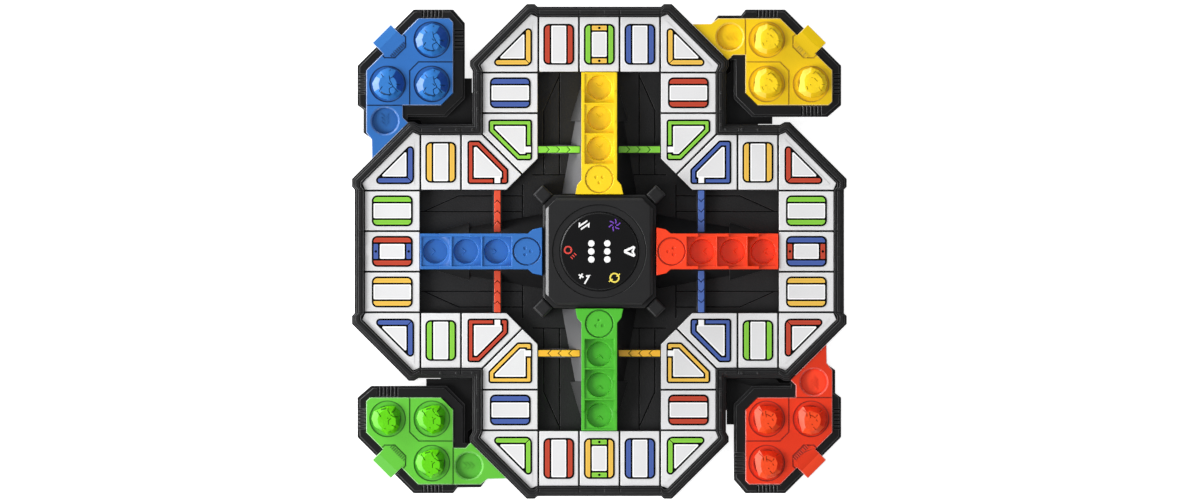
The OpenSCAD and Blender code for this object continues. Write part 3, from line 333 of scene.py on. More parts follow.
def round_edges(piece, width, edge_slot):
    """Rounds the marked edges of a piece by a width in mm, and fills its flat faces anew.

    With BESIDE as slot, an edge takes the material of the faces beside it.
    """
    rounding = piece.modifiers.new("Rounding", "BEVEL")
    rounding.width = width * MM
    rounding.segments = ROUND_STEPS
    rounding.limit_method = "WEIGHT"
    rounding.use_clamp_overlap = False
    rounding.miter_outer = "MITER_ARC"
    rounding.material = edge_slot
    bm = bmesh.new()
    bm.from_object(piece, bpy.context.evaluated_depsgraph_get())
    piece.modifiers.clear()
    for region in list(flat_regions(bm)):
        if max(len(face.verts) for face in region) > QUAD:
            refill(bm, region)
    bmesh.ops.dissolve_limit(bm, angle_limit=SAME_PLANE, verts=[], edges=bm.edges, delimit={"MATERIAL"})
    bm.to_mesh(piece.data)
    bm.free()
    normals = piece.modifiers.new("Normals", "WEIGHTED_NORMAL")
    normals.keep_sharp = True


def height_of(face):
    """Upright size of a face, in metres."""
    levels = [vert.co.z for vert in face.verts]
    return max(levels) - min(levels)


def mark_edges(bm, least, tall, skip):
    """Marks outward edges of a least bend, in degrees, beside a wall of a least height, in mm."""
    weight = bm.edges.layers.float.new("bevel_weight_edge")
    bm.normal_update()
    for edge in bm.edges:
        if len(edge.link_faces) == 2 and edge.is_convex and edge.calc_face_angle() > math.radians(least):
            left_sharp = skip and any(skip(face) for face in edge.link_faces)
            edge[weight] = not left_sharp and max(height_of(face) for face in edge.link_faces) >= tall * MM


def groove_floors(bm, widest):
    """Faces that look up, are no wider than a size in mm and have walls along most of their rim."""
    found = []
    for face in bm.faces:
        rim = sum(edge.calc_length() for edge in face.edges)
        walls = sum(
            edge.calc_length() for edge in face.edges
            if len(edge.link_faces) == 2 and not edge.is_convex and edge.calc_face_angle() > WALL_ANGLE)
        narrow = LEAST_GROOVE * MM ** 2 < face.calc_area() < widest * MM * rim / 2
        if face.normal.z > FLAT and narrow and walls > rim / 2:
            found.append(face)
    return found


def paint_groove_shade(bm):
    """Gives the floors of the panel lines a painted shade, darker than the faces around them."""
    for face in groove_floors(bm, GROOVE_W):
        face.material_index = GROOVE


def rounded_shell(node, materials, edge_slot=EDGE, least=BEND, tall=0, skip=None, paint=None):
    """Copy of a CAD node, in its place, with its outward edges rounded by its own or its family's width."""
    width = ROUNDING.get(node) or ROUNDING[node.rpartition("_")[0]]
    bm = cad_mesh(node)
    if paint:
        paint(bm)
    mark_edges(bm, least, tall, skip)
    piece = add_piece(node + "_shell", bm, materials, node)
    round_edges(piece, width, edge_slot)
    return piece


# Outlines in the plane, as lists of points in mm


def pairs(points):
    """Each point with the next one, around the outline."""
    return list(zip(points, points[1:] + points[:1]))


def middle_of(points):
    """Mean of some points in the plane."""
    return sum(points, Vector((0, 0))) / len(points)


def leftward(points):
    """The outline in counterclockwise order."""
    return points if sum(a.cross(b) for a, b in pairs(points)) > 0 else points[::-1]


def side_of(run):
    """Unit vector to the left of a direction."""
    return Vector((-run.y, run.x)).normalized()


def line_meeting(a, b, c, d):
    """Crossing of the endless lines through a, b and c, d."""
    run, other = b - a, d - c
    return a + run * ((c - a).cross(other) / run.cross(other))


def inset(points, distance):
    """Outline with each side moved inwards."""
    moved = []
    for a, b in pairs(leftward(points)):
        shift = side_of(b - a) * distance
        moved.append((a + shift, b + shift))
    return [line_meeting(*first, *second) for first, second in zip(moved[-1:] + moved[:-1], moved)]


def rounded(points, radii, steps=5):
    """Outline with each corner turned into an arc, by one radius or by one for each corner."""
    if not hasattr(radii, "__len__"):
        radii = [radii] * len(points)
    result = []
    around = zip(points[-1:] + points[:-1], points, points[1:] + points[:1], radii)
    for before, here, after, radius in around:
        back, ahead = (before - here).normalized(), (after - here).normalized()
        half = back.angle(ahead) / 2
        centre = here + (back + ahead).normalized() * radius / math.sin(half)
        start = here + back * radius / math.tan(half) - centre
        sweep = math.copysign(math.pi - 2 * half, ahead.cross(back))
        result += [centre + Matrix.Rotation(sweep * step / steps, 2) @ start for step in range(steps + 1)]
    return result


def disc(centre, radius, steps=20):
    """Outline of a circle."""
    turns = (math.tau * k / steps for k in range(steps))
    return [centre + Vector((math.cos(t), math.sin(t))) * radius for t in turns]


def prism(bm, points, low, high, material):
    """Closed block over an outline, between two heights in mm."""
    points = leftward(points)
    rows = [[bm.verts.new((p.x * MM, p.y * MM, z * MM)) for p in points] for z in (low, high)]
    faces = [bm.faces.new(rows[1]), bm.faces.new(rows[0][::-1])]
    for (a, b), (c, d) in zip(pairs(rows[0]), pairs(rows[1])):
        faces.append(bm.faces.new((a, b, d, c)))
    for face in faces:
        face.material_index = material


# Printed labels: black ground, colour bars and a pale panel in thin layers; sizes in mm, turns in degrees

LINE = 1.3
BAR = 3.1
END_BAR = 3.1
CORNER_BAR = 2.9
ELBOW_BAR = 2.1
CORE_IN = 0.7
PANEL_IN = 0.8
LABEL_R = 3.8
ELBOW_R = 2.1
SMALL_R = 0.35
DOT_R = 0.9
TIP_ROOM = 5.1
HEEL_R = 4.4
MITRE = 0.45
MITRE_TURN = 230
HEEL_STEPS, END_STEPS = 4, 8
PORT = 3.9
PORT_IN = 0.7
ON_AXIS = 1.0
ELBOW_OUT = 2.9
LAYER = 0.03
LONG_SIDE = 4.0
TILE_SLOT, PAPER_SLOT, GREY_SLOT, BLACK_SLOT = range(4)
INK_SLOT = {colour: BLACK_SLOT + 1 + n for n, colour in enumerate(COLOURS)}
CORE_SLOT = {colour: slot + len(COLOURS) for colour, slot in INK_SLOT.items()}
CORNER_R = {3: SMALL_R, 4: LABEL_R, 5: ELBOW_R}
RAMP_AT = {(0, 1): "yellow", (1, 0): "red", (0, -1): "green", (-1, 0): "blue"}
BRIDGE_R = sum(corner.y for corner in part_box("bridge_green")) / 2 / MM


def islands(node):
    """Points, in mm, of each separate solid of a CAD node."""
    bm = cad_mesh(node)
    waiting = set(bm.verts)
    while waiting:
        stack = [waiting.pop()]
        found = []
        while stack:
            vert = stack.pop()
            found.append(vert.co / MM)
            fresh = [v for v in (e.other_vert(vert) for e in vert.link_edges) if v in waiting]
            waiting.difference_update(fresh)
            stack.extend(fresh)
        yield found
    bm.free()


def sharp_outline(points):
    """Outline of a convex solid seen from above, with its small corner arcs made sharp again."""
    flat = [p.xy for p in points]
    hull = leftward([flat[i] for i in geometry.convex_hull_2d(flat)])
    sides = [(a, b) for a, b in pairs(hull) if (b - a).length > LONG_SIDE]
    return [line_meeting(*first, *second) for first, second in zip(sides[-1:] + sides[:-1], sides)]


class Print:
    """Layers of ink on the labels of one node."""

    def __init__(self, top):
        self.bm = bmesh.new()
        self.top = top

    def fill(self, points, layer, slot):
        """Ink over an outline, up to a layer."""
        prism(self.bm, points, self.top - LAYER, self.top + layer * LAYER, slot)

    def bar(self, points, radii, colour):
        """Colour bar with a deeper tone along its middle."""
        self.fill(rounded(points, radii), 2, INK_SLOT[colour])
        self.fill(rounded(inset(points, CORE_IN), SMALL_R), 3, CORE_SLOT[colour])

    def panel(self, points, layer=2):
        """White panel with a pale grey middle."""
        self.fill(rounded(points, 2 * SMALL_R), layer, PAPER_SLOT)
        self.fill(rounded(inset(points, PANEL_IN), SMALL_R), layer + 1, GREY_SLOT)


def straight_label(ink, corners, own, ramp):
    """Two colour bars along the long sides; a home label has two more in the colour of its ramp."""
    middle = middle_of(corners)
    short, long = sorted((b - a for a, b in pairs(corners)[:2]), key=lambda run: run.length)
    half_w, top = short.length / 2, long.length / 2 - LINE
    inner = half_w - 2 * LINE - BAR

    def place(x, y):
        return middle + short.normalized() * x + long.normalized() * y

    ink.fill(rounded(corners, LABEL_R), 1, BLACK_SLOT)
    for side in (1, -1):
        near, far = side * (half_w - LINE), side * (inner + LINE)
        outer_r = LABEL_R - LINE
        ink.bar([place(near, -top), place(near, top), place(far, top), place(far, -top)],
                (outer_r, outer_r, SMALL_R, SMALL_R), own)
    if ramp:
        low = top - END_BAR
        for end in (1, -1):
            spots = ((-inner, low), (inner, low), (inner, top), (-inner, top))
            ink.bar([place(x, end * y) for x, y in spots], SMALL_R, ramp)
            ink.fill(disc(place(0, end * (top + low) / 2), DOT_R), 4, BLACK_SLOT)
        top = low - LINE
    ink.panel([place(-inner, -top), place(inner, -top), place(inner, top), place(-inner, top)])


def corner_label(ink, corners, own):
    """Two colour bars that meet at the right angle, and a line along the slant."""
    heel, ahead, behind = min(
        zip(corners, corners[1:] + corners[:1], corners[-1:] + corners[:-1]),
        key=lambda c: abs((c[1] - c[0]).normalized().dot((c[2] - c[0]).normalized())))
    units = ((ahead - heel).normalized(), (behind - heel).normalized())
    half = LINE + CORNER_BAR / 2
    inner = LINE + CORNER_BAR
    tip = (ahead - heel).length - TIP_ROOM - half
    leg = tip + half * (1 + math.sqrt(2))
    slant = leg - math.sqrt(2) * LINE

    def place(a, b, along=units[0], across=units[1]):
        return heel + along * a + across * b

    ink.fill(rounded([place(0, 0), place(leg, 0), place(0, leg)], (HEEL_R, half, half)), 1, BLACK_SLOT)
    for along, across in (units, units[::-1]):
        for trim, layer, slot in ((0, 2, INK_SLOT), (CORE_IN, 3, CORE_SLOT)):
            heel_r, end_r = HEEL_R - LINE - trim, CORNER_BAR / 2 - trim
            first = math.radians(MITRE_TURN) + math.asin(trim / heel_r)
            turns = [first + (1.5 * math.pi - first) * n / HEEL_STEPS for n in range(HEEL_STEPS + 1)]
            shape = [(HEEL_R + heel_r * math.cos(t), HEEL_R + heel_r * math.sin(t)) for t in turns]
            turns = [math.pi * (n / END_STEPS - 0.5) for n in range(END_STEPS + 1)]
            shape += [(tip + end_r * math.cos(t), half + end_r * math.sin(t)) for t in turns]
            shape.append((inner + MITRE + trim * (math.sqrt(2) - 1), inner - trim))
            ink.fill([place(a, b, along, across) for a, b in shape], layer, slot[own])
    near = inner + LINE
    ink.panel([place(near, near), place(slant - near, near), place(near, slant - near)])


def elbow_outline(corners):
    """The label's outline with the side at the tile's cut corner turned square to the side beside it."""
    sides = pairs(corners)
    slopes = [s for s in sides if min(abs(v) for v in s[1] - s[0]) > LINE]
    cut, slant = sorted(slopes, key=lambda s: (s[1] - s[0]).length)
    ahead = cut[0] == slant[1]
    corner = cut[1] if ahead else cut[0]
    base = next(s for s in sides if corner in s and s != cut)
    run = (middle_of(base) - corner).normalized()
    foot = corner - run * ELBOW_OUT
    top = line_meeting(foot, foot + side_of(run), *slant)
    fresh = [top, foot] if ahead else [foot, top]
    return [p for c in corners for p in (fresh if c == cut[0] else [] if c == cut[1] else [c])], base


def elbow_label(ink, corners, base, own):
    """A closed colour band with a gap that faces the bridge bar."""
    band = 2 * LINE + ELBOW_BAR
    layers = (
        (0, 1, BLACK_SLOT),
        (LINE, 2, INK_SLOT[own]),
        (LINE + CORE_IN, 3, CORE_SLOT[own]),
        (band - LINE - CORE_IN, 3.5, INK_SLOT[own]),
        (band - LINE, 4, BLACK_SLOT),
    )
    for distance, layer, slot in layers:
        ink.fill(rounded(inset(corners, distance), max(ELBOW_R - distance, SMALL_R)), layer, slot)
    ink.panel(inset(corners, band), layer=5)
    start, end = base
    run = (end - start).normalized()
    inward = side_of(run)
    reach = math.copysign(BRIDGE_R, middle_of(base).dot(run)) - start.dot(run)
    ports = (
        (PORT / 2 + LINE, 0, band, 4.5, BLACK_SLOT),
        (PORT / 2, LINE * PORT_IN, band + PANEL_IN, 5.5, PAPER_SLOT),
    )
    for half, near, far, layer, slot in ports:
        spots = ((-half, near), (half, near), (half, far), (-half, far))
        ink.fill([start + run * (reach + s) + inward * d for s, d in spots], layer, slot)


def ramp_of(middle):
    """Colour of the ramp that ends at a home label, or None."""
    if min(abs(middle.x), abs(middle.y)) > ON_AXIS:
        return None
    reach = max(abs(middle.x), abs(middle.y))
    return RAMP_AT[(round(middle.x / reach), round(middle.y / reach))]


def print_labels(own):
    """All the labels of one colour, as a piece."""
    node = "labels_" + own
    low, high = (corner.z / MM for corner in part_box(node))
    ink = Print(high)
    for points in islands(node):
        corners = sharp_outline(points)
        corner_r = CORNER_R[len(corners)]
        if len(corners) == 3:
            corner_label(ink, corners, own)
        elif len(corners) == 4:
            straight_label(ink, corners, own, ramp_of(middle_of(corners)))
        else:
            corners, base = elbow_outline(corners)
            elbow_label(ink, corners, base, own)
        prism(ink.bm, rounded(corners, corner_r), low, high, TILE_SLOT)
    inks = [kind[c] for kind in (INKS, INK_CORES) for c in COLOURS]
    add_piece(node + "_print", ink.bm, [TILE, PAPER, LABEL_GREY, INK_BLACK] + inks, node)


for colour in COLOURS:
    print_labels(colour)

# Tokens: rocks in the CAD tokens' place; paths and radii are shares of the radius, widths and depths in mm

ROCK_RADII = {
    "blue": (0.98, 0.97, 0.95, 0.97, 0.9, 0.86, 0.98, 0.98, 0.97, 0.98, 0.97, 0.98),
    "yellow": (0.97, 0.96, 0.94, 1.0, 0.95, 0.77, 0.7, 0.88, 0.83, 0.84, 0.88, 0.97),
    "red": (0.98, 0.99, 0.84, 0.77, 0.9, 0.86, 0.7, 0.73, 0.94, 0.96, 0.97, 0.98),
    "green": (0.74, 0.9, 0.9, 0.8, 0.77, 0.95, 0.97, 0.9, 0.8, 0.96, 0.94, 0.84),
}
TOP_RADII = {
    "blue": (0.54, 0.52, 0.5, 0.52, 0.55, 0.58, 0.6, 0.62, 0.66, 0.68, 0.66, 0.58),
    "yellow": (0.74, 0.72, 0.7, 0.74, 0.6, 0.48, 0.4, 0.44, 0.54, 0.58, 0.62, 0.72),
    "red": (0.66, 0.62, 0.5, 0.52, 0.5, 0.4, 0.38, 0.44, 0.62, 0.72, 0.72, 0.68),
    "green": (0.5, 0.46, 0.54, 0.58, 0.58, 0.6, 0.63, 0.65, 0.68, 0.75, 0.72, 0.6),
}
MAIN_TONE, GLINT_TONE, SHADE_TONE, CRACK_SHADE_TONE, SHADOW_SILL_TONE = range(5)
TONE_OF = {"m": MAIN_TONE, "p": GLINT_TONE, "d": SHADE_TONE}
# Each upper facet's letter: main colour (m), painted glint (p) or painted shade (d), by the way it faces
# the lamps
FACET_PAINTED_LIGHT = {
    "blue": "ddmmmppmmmmd", "yellow": "mmmppppppddm", "red": "ddddppppmmmd", "green": "ddmmmpppmmmd",
}
ROCK_SEED = 7
ROCK_UNEVEN = 0.03
ROCK_BEND = math.radians(14)
ROCK_EDGE = 0.2
WAIST = {"green": 0.78, "blue": 0.7, "yellow": 0.82, "red": 0.76}
FOOT_IN = 0.96
FINE, BROAD = 0.3, 0.5
CRACKS = {
    "blue": (
        (FINE, ((0.06, 0.48), (0.12, 0.17), (0.28, -0.14), (0.6, -0.5))),
        (FINE, ((0.12, 0.33), (0.34, 0.45))),
        (FINE, ((0.28, -0.17), (0.06, -0.3), (0.08, -0.52), (0.19, -0.67))),
        (FINE, ((0.03, 0.05), (0.16, -0.06))),
        (FINE, ((-0.37, -0.17), (-0.56, -0.48))),
        (BROAD, ((-0.47, -0.55), (-0.22, -0.68), (0.12, -0.71))),
        (FINE, ((0.47, -0.02), (0.76, -0.08))),
        (FINE, ((-0.3, 0.42), (-0.44, 0.6))),
        (FINE, ((0.1, 0.8), (0.14, 0.86))),
    ),
    "yellow": (
        (FINE, ((0.12, 0.61), (0.28, 0.75))),
        (FINE, ((0.34, 0.7), (0.49, 0.6), (0.65, 0.37))),
        (FINE, ((0.05, 0.4), (0.08, 0.37))),
        (FINE, ((0.2, 0.34), (0.39, 0.16))),
        (FINE, ((-0.03, -0.03), (0.0, -0.07))),
        (FINE, ((0.47, -0.21), (0.65, -0.42))),
        (FINE, ((-0.26, -0.14), (-0.18, -0.33))),
        (FINE, ((0.66, -0.02), (0.84, -0.05))),
    ),
    "red": (
        (FINE, ((-0.46, 0.59), (-0.27, 0.41))),
        (FINE, ((-0.03, 0.44), (-0.03, 0.27), (0.31, 0.1))),
        (FINE, ((-0.03, 0.27), (0.02, 0.08))),
        (FINE, ((-0.22, 0.34), (-0.2, 0.17))),
        (FINE, ((0.37, 0.17), (0.44, 0.27))),
        (FINE, ((0.37, -0.03), (0.43, -0.14))),
        (FINE, ((0.1, -0.3), (0.14, -0.34))),
        (FINE, ((0.2, -0.49), (0.34, -0.64))),
        (FINE, ((0.58, 0.47), (0.76, 0.59))),
    ),
    "green": (
        (FINE, ((-0.63, 0.48), (-0.39, 0.14))),
        (BROAD, ((-0.38, 0.58), (-0.09, 0.66))),
        (FINE, ((0.05, 0.65), (0.02, 0.51), (0.14, 0.32))),
        (FINE, ((0.27, 0.39), (0.51, 0.62))),
        (FINE, ((0.19, 0.26), (0.39, 0.12), (0.65, 0.15))),
        (FINE, ((0.0, 0.07), (0.04, 0.03))),
        (FINE, ((0.19, 0.02), (0.05, -0.1), (0.07, -0.32))),
        (FINE, ((0.26, -0.36), (0.51, -0.5))),
        (FINE, ((-0.17, -0.56), (-0.13, -0.6))),
        (FINE, ((0.13, -0.73), (0.17, -0.77))),
    ),
}
CRACK_STEP = 0.09
CRACK_DEPTH = 0.6
CRACK_TOP = 1.0
# Painted shadow: a dark sill beside the rock's foot, between two turns in degrees
SHADOW_SILL = {"yellow": (146, 198), "red": (158, 220), "green": (-24, 26)}
SHADOW_SILL_H = 2.2
SHADOW_SILL_OUT = 0.09
SHADOW_SILL_STEPS = 8
FACET_ANGLE = 30


def rock(colour, low, high):
    """Rock with upright sides, sloping facets with painted glint or shade, and a flat top, in the box of a
    CAD token.
    """
    draws = random.Random(ROCK_SEED)
    centre = (low + high) / 2
    radius = max(high.x - low.x, high.y - low.y) / 2
    bm = bmesh.new()
    shadow_rings = [[], [], []]
    for n, (share, flat) in enumerate(zip(ROCK_RADII[colour], TOP_RADII[colour])):
        turn = math.tau * n / len(ROCK_RADII[colour])
        out = Vector((math.cos(turn), math.sin(turn)))
        waist = WAIST[colour] + draws.uniform(-ROCK_UNEVEN, ROCK_UNEVEN)
        for ring, reach, rise in zip(shadow_rings, (share * FOOT_IN, share, flat), (0, waist, 1)):
            at = centre.xy + out * radius * reach
            ring.append(bm.verts.new((*at, low.z + rise * (high.z - low.z))))
    bm.faces.new(shadow_rings[0][::-1])
    bm.faces.new(shadow_rings[2])
    for lower, upper in zip(shadow_rings, shadow_rings[1:]):
        for tone, (a, b), (c, d) in zip(FACET_PAINTED_LIGHT[colour], pairs(lower), pairs(upper)):
            for corners in ((a, b, d), (a, d, c)):
                bm.faces.new(corners).material_index = TONE_OF[tone] if upper is shadow_rings[2] else MAIN_TONE
    bm.normal_update()
    bends = [edge for edge in bm.edges if edge.is_convex and edge.calc_face_angle() > ROCK_BEND]
    bmesh.ops.bevel(bm, geom=bends, offset=ROCK_EDGE * MM, segments=1, affect="EDGES", material=BESIDE)
    return bm


def add_shadow_sill(bm, colour, low, high):
    """Painted shadow: a dark sill in the hollow beside the rock's foot, where the socket's shade falls."""
    centre = (low + high).xy / 2 / MM
    radius = (high.x - low.x) / 2 / MM
    first, last = SHADOW_SILL[colour]
    near, far = [], []
    for n in range(SHADOW_SILL_STEPS + 1):
        angle = first + (last - first) * n / SHADOW_SILL_STEPS
        lower = math.floor(angle / FACET_ANGLE)
        share = angle / FACET_ANGLE - lower
        radii = [ROCK_RADII[colour][k % len(ROCK_RADII[colour])] for k in (lower, lower + 1)]
        edge = radii[0] * (1 - share) + radii[1] * share
        near.append((edge - 2 * SHADOW_SILL_OUT, math.radians(angle)))
        far.append((edge + SHADOW_SILL_OUT * math.sin(math.pi * n / SHADOW_SILL_STEPS), math.radians(angle)))
    points = [centre + Vector((math.cos(t), math.sin(t))) * radius * reach for reach, t in near + far[::-1]]
    prism(bm, points, low.z / MM, low.z / MM + SHADOW_SILL_H, SHADOW_SILL_TONE)


def short_steps(path):
    """Points along a path, close enough to follow the rock's bends."""
    points = [Vector(point) for point in path]
    found = points[:1]
    for start, end in zip(points, points[1:]):
        count = math.ceil((end - start).length / CRACK_STEP)
        found += [start.lerp(end, (n + 1) / count) for n in range(count)]
    return found


def crack_block(bm, start, end, half):
    """Wedge with its sharp edge below, along a line on the rock's face, in metres."""
    run = (end - start).normalized()
    side = Vector((-run.y, run.x, 0)).normalized()
    start, end = start - run * half / 2, end + run * half / 2
    up, down = Vector((0, 0, CRACK_TOP * MM)), Vector((0, 0, CRACK_DEPTH * MM))
    spread = side * half * (1 + CRACK_TOP / CRACK_DEPTH)
    ends = [
        [bm.verts.new(p) for p in (at - down, at + up - spread, at + up + spread)]
        for at in (start, end)]
    sides = [(b, a, c, d) for (a, b), (c, d) in zip(pairs(ends[0]), pairs(ends[1]))]
    # The wedge's faces give the carved crack walls their painted shade
    for face in [ends[0], ends[1][::-1]] + sides:
        bm.faces.new(face).material_index = CRACK_SHADE_TONE
    bmesh.ops.recalc_face_normals(bm, faces=bm.faces)


def carved(solid, cutter):
    """Bmesh of a solid less a cutter, both given as bmeshes that are used up."""
    objects = []
    for bm in (solid, cutter):
        mesh = bpy.data.meshes.new("carving")
        bm.to_mesh(mesh)
        bm.free()
        for _ in range(SHADOW_SILL_TONE + 1):
            mesh.materials.append(None)
        objects.append(bpy.data.objects.new("carving", mesh))
        bpy.context.scene.collection.objects.link(objects[-1])
    cut = objects[0].modifiers.new("Cut", "BOOLEAN")
    cut.object = objects[1]
    cut.solver = "EXACT"
    cut.use_self = True
    result = bmesh.new()
    result.from_object(objects[0], bpy.context.evaluated_depsgraph_get())
    for item in objects:
        mesh = item.data
        bpy.data.objects.remove(item)
        bpy.data.meshes.remove(mesh)
    return result


def token(colour, number):
    """Rock token with cracks across its top."""
    node = f"token_{colour}_{number}"
    low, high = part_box(node)
    body = rock(colour, low, high)
    surface = BVHTree.FromBMesh(body)
    centre = (low + high) / 2
    radius = (high.x - low.x) / 2
    cutter = bmesh.new()
    for half, path in CRACKS[colour]:
        places = (centre.xy + point * radius for point in short_steps(path))
        spots = [surface.ray_cast(Vector((*at, high.z + MM)), Vector((0, 0, -1)))[0] for at in places]
        for ends in zip(spots, spots[1:]):
            if all(ends):
                crack_block(cutter, *ends, half * MM)
    bm = carved(body, cutter)
    bmesh.ops.triangulate(bm, faces=bm.faces)
    if colour in SHADOW_SILL:
        add_shadow_sill(bm, colour, low, high)
    look = [kind[colour] for kind in (ROCKS, ROCK_PAINTED_GLINTS, ROCK_SHADE_FACETS, ROCK_CRACK_SHADES, ROCK_SHADOW_SILLS)]
    add_piece(node + "_rock", bm, look, node)


for colour in COLOURS:
    for number in (1, 2, 3):
        token(colour, number)

# Rounded shells of the other pieces that show

SOCKET_SHADOW_RING = 0.8
SUNKEN, DEEP = 1.3, 2.5
RIB_H = 0.45
MARK_H = 0.2
SLOPE = 0.3
BUTTON_WALL = 3.0
PLATE_BEND = 40
FACING = 0.9
NEARER = 0.3
FIN_SPLIT = 95
FOLD_LEAST, FOLD_MOST, FOLD_AREA = 0.9, 0.95, 60
HIGHLIGHT_SLOT, FAINT_SHEEN_SLOT, STRONG_SHEEN_SLOT = 1, 2, 3
SYMBOL_TURN = 360 / len(SYMBOLS)


def faces_middle(face):
    """Whether a wall looks at the middle of the board."""
    return face.normal.xy.dot(face.calc_center_median().xy.normalized()) < -FACING


def close_gap(bm):
    """Brings the slanted wall beside the frame nearer to it, so that no floor shows between them."""
    wall = max((face for face in bm.faces if faces_middle(face)), key=lambda face: face.calc_area())
    shift = wall.normal * NEARER * MM
    for vert in wall.verts:
        vert.co += shift


def paint_plate(bm):
    """Painted shade in the panel lines, on the ribs, in the socket rings and on the deep start cup's floor;
    a painted highlight on the cup's mouth and other slopes; painted light or shade on the fold and the
    cup's marks.
    """
    close_gap(bm)
    paint_groove_shade(bm)
    top = max(vert.co.z for vert in bm.verts)
    for face in bm.faces:
        if face.calc_center_median().z > top - RIB_H * MM:
            face.material_index = RIB
        elif SLOPE < face.normal.z < FOLD_LEAST:
            face.material_index = MOUTH
        elif FOLD_LEAST < face.normal.z < FOLD_MOST and face.calc_area() > FOLD_AREA * MM ** 2:
            face.material_index = FOLDED
    floors = [f for f in bm.faces if f.normal.z > FLAT and f.calc_center_median().z < top - SUNKEN * MM]
    lowest = min(face.calc_center_median().z for face in floors)
    for face in floors:
        level = face.calc_center_median().z
        if lowest + MARK_H * MM < level < top - DEEP * MM:
            face.material_index = FOLDED
        elif level < top - DEEP * MM:
            face.material_index = HOLLOW
    # Painted shadow: a dark ring inside each socket's rim, where the wall's shade falls
    sockets = [f for f in floors if f.material_index == MAIN]
    shadow_rings = bmesh.ops.inset_region(
        bm, faces=sockets, thickness=SOCKET_SHADOW_RING * MM, use_boundary=True, use_even_offset=True)
    for face in shadow_rings["faces"]:
        face.material_index = GROOVE


def paint_tower_highlight(bm):
    """Painted highlight along the left chamfer of the tower's top."""
    slopes = [f for f in bm.faces if f.normal.x < -SLOPE and f.normal.z > SLOPE]
    max(slopes, key=lambda f: f.calc_center_median().z).material_index = HIGHLIGHT_SLOT


def paint_fin_sheen(bm):
    """Painted sheen on the faces of the fins that look left: a lighter grey near the tower, a fainter one
    further out.
    """
    for face in bm.faces:
        if face.normal.x < -SLOPE and face.normal.z > SLOPE:
            far = abs(face.calc_center_median().y) > FIN_SPLIT * MM
            face.material_index = FAINT_SHEEN_SLOT if far else STRONG_SHEEN_SLOT


for name in ("track_frame", "base_cover", "battery_door"):
    rounded_shell(name, [BLACK, BLACK_EDGE_HIGHLIGHT])
rounded_shell("ramp_bases", [BLACK, BLACK_EDGE_HIGHLIGHT, FIN_FAINT_SHEEN, FIN_STRONG_SHEEN], paint=paint_fin_sheen)
rounded_shell("tower_housing", [TOWER, TOWER_HIGHLIGHT], edge_slot=BESIDE, paint=paint_tower_highlight)
for name in ("tower_posts", "dice_bezel"):
    rounded_shell(name, [TOWER], edge_slot=MAIN)
rounded_shell("well_panel", [PANEL, BLACK_EDGE_HIGHLIGHT, SHADOW], paint=paint_groove_shade)
for name in ("tiles_straight", "tiles_corner", "tiles_elbow", "tiles_home"):
    rounded_shell(name, [TILE, TILE_EDGE_HIGHLIGHT])
for colour in COLOURS:
    look = [PLASTICS[colour], PLASTICS[colour], GROOVE_SHADES[colour]]
    rounded_shell("ramp_" + colour, look, edge_slot=MAIN, paint=paint_groove_shade)
    look = [kind[colour] for kind in (PLATES, PLATE_EDGE_HIGHLIGHTS, PLATE_GROOVE_SHADES, CUP_SHADES, FOLD_LIGHT_SHADE, RIB_SHADES, MOUTH_HIGHLIGHTS)]
    rounded_shell(
        "pod_plate_" + colour, look, least=PLATE_BEND, tall=DEEP, skip=faces_middle, paint=paint_plate)
    look = [BARS[colour], BAR_EDGE_HIGHLIGHTS[colour], BAR_GROOVE_SHADES[colour]]
    rounded_shell("bridge_" + colour, look, paint=paint_groove_shade)
    rounded_shell("pod_tray_" + colour, [TRAY, BLACK_EDGE_HIGHLIGHT])
rounded_shell("dice_button", [BUTTON, BUTTON_EDGE_HIGHLIGHT], tall=BUTTON_WALL)
rounded_shell("pip_lenses", [LENS], edge_slot=MAIN)
rounded_shell("rubber_feet", [RUBBER], edge_slot=MAIN)
rounded_shell("power_knob", [KNOB], edge_slot=MAIN)
for name in ("case_screws", "door_screw"):
    rounded_shell(name, [STEEL], edge_slot=MAIN)
symbols = rounded_shell("symbol_lenses", SYMBOLS, edge_slot=BESIDE)
for face in symbols.data.polygons:
    turn = math.degrees(math.atan2(face.center.y, face.center.x))
    face.material_index = round(turn / SYMBOL_TURN) % len(SYMBOLS)

# Pieces inside the case, which keep the CAD's mesh

for name, material in INNER.items():
    NODES[name].data.materials.clear()
    NODES[name].data.materials.append(material)

# Stage, light and camera; each lamp has a place, a size, a power in watts, and highlights or none

PHOTO_W, PHOTO_H = 1200, 503
MM_PER_PIXEL = 0.70
OBJECT_AT = (599.3, 251.4)
EYE_H = 1
FLOOR_HALF = 3
FLOOR_TONE = (0.9, 0.9, 0.9, 1)
FLOOR_ROUGH = 0.9
FLOOR_GLOW = 0.8
WHITE = (1, 1, 1, 1)
ZENITH, HORIZON = 0.1, 0.4
SIDE = 0.6
LAMPS = {
    "top": ((0, 0, 1.1), (1.5, 1.5), 6.5, False),
    "key": ((-1.9, -0.7, 1.7), (1.2, 1.2), 54, True),
    "left": ((-1.7, 1.1, 0.42), (2.0, 0.72), 42, True),
}


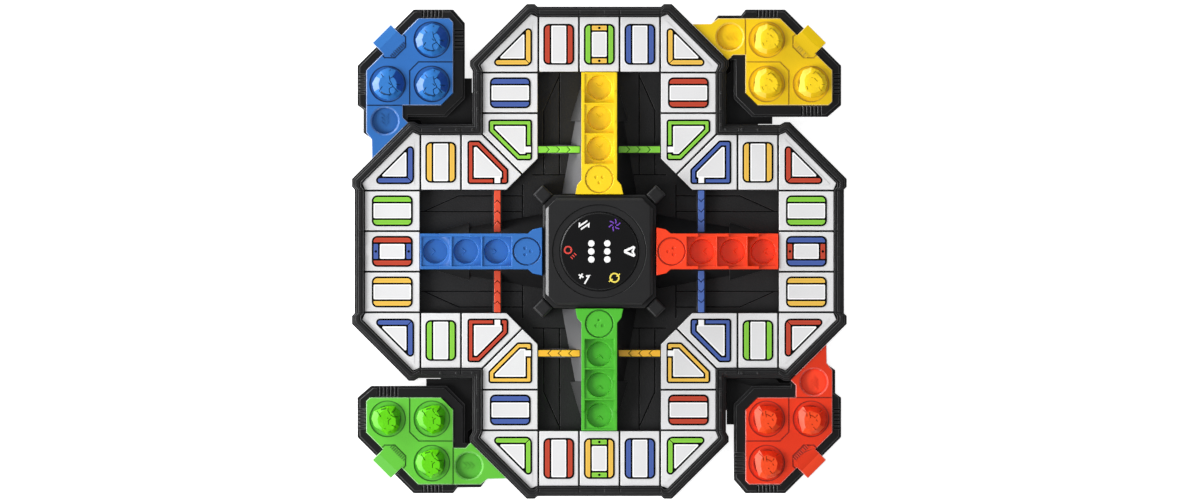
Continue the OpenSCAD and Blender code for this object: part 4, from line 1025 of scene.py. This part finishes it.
def stage():
    """White floor that keeps the object's shadow."""
    mesh = bmesh.new()
    bmesh.ops.create_grid(mesh, x_segments=1, y_segments=1, size=FLOOR_HALF)
    floor_mesh = bpy.data.meshes.new("floor")
    mesh.to_mesh(floor_mesh)
    mesh.free()
    floor = bpy.data.objects.new("floor", floor_mesh)
    bpy.context.scene.collection.objects.link(floor)
    mat = bpy.data.materials.new("floor_white")
    mat.use_nodes = True
    tree = mat.node_tree
    shader = tree.nodes["Principled BSDF"]
    shader.inputs["Base Color"].default_value = FLOOR_TONE
    shader.inputs["Roughness"].default_value = FLOOR_ROUGH
    rays = tree.nodes.new("ShaderNodeLightPath")
    seen = math_node(tree, "MAXIMUM", rays.outputs["Is Camera Ray"], rays.outputs["Is Glossy Ray"])
    seen = math_node(tree, "MAXIMUM", seen, rays.outputs["Is Transmission Ray"])
    tree.links.new(math_node(tree, "MULTIPLY", seen, FLOOR_GLOW), shader.inputs["Emission Strength"])
    shader.inputs["Emission Color"].default_value = WHITE
    floor.data.materials.append(mat)


def sky():
    """White room that is brighter towards the horizon than overhead, and brighter on the left."""
    world = bpy.data.worlds.new("studio")
    bpy.context.scene.world = world
    world.use_nodes = True
    tree = world.node_tree
    background = tree.nodes["Background"]
    background.inputs["Color"].default_value = WHITE
    place = tree.nodes.new("ShaderNodeTexCoord")
    parts = tree.nodes.new("ShaderNodeSeparateXYZ")
    fade = tree.nodes.new("ShaderNodeMapRange")
    fade.inputs["To Min"].default_value = HORIZON
    fade.inputs["To Max"].default_value = ZENITH
    tree.links.new(place.outputs["Generated"], parts.inputs["Vector"])
    tree.links.new(parts.outputs["Z"], fade.inputs["Value"])
    tilt = math_node(tree, "ADD", math_node(tree, "MULTIPLY", parts.outputs["X"], -SIDE), 1.0)
    tree.links.new(math_node(tree, "MULTIPLY", fade.outputs["Result"], tilt), background.inputs["Strength"])


def area_light(name, place, size, power, mirrored):
    """Soft box that faces the object; one that isn't mirrored gives no highlights."""
    data = bpy.data.lights.new(name, "AREA")
    data.shape = "RECTANGLE"
    data.size, data.size_y = size
    data.energy = power
    lamp = bpy.data.objects.new(name, data)
    lamp.location = place
    lamp.rotation_euler = (-Vector(place)).to_track_quat("-Z", "Y").to_euler()
    lamp.visible_camera = False
    lamp.visible_glossy = mirrored
    bpy.context.scene.collection.objects.link(lamp)


def camera():
    """Straight down, in the photograph's frame."""
    data = bpy.data.cameras.new("camera")
    data.type = "ORTHO"
    data.ortho_scale = PHOTO_W * MM_PER_PIXEL * MM
    eye = bpy.data.objects.new("camera", data)
    shift = (PHOTO_W / 2 - OBJECT_AT[0], OBJECT_AT[1] - PHOTO_H / 2)
    eye.location = (*(s * MM_PER_PIXEL * MM for s in shift), EYE_H)
    bpy.context.scene.collection.objects.link(eye)
    bpy.context.scene.camera = eye


stage()
sky()
for name, lamp in LAMPS.items():
    area_light(name, *lamp)
camera()
bpy.context.scene.view_settings.view_transform = "Standard"
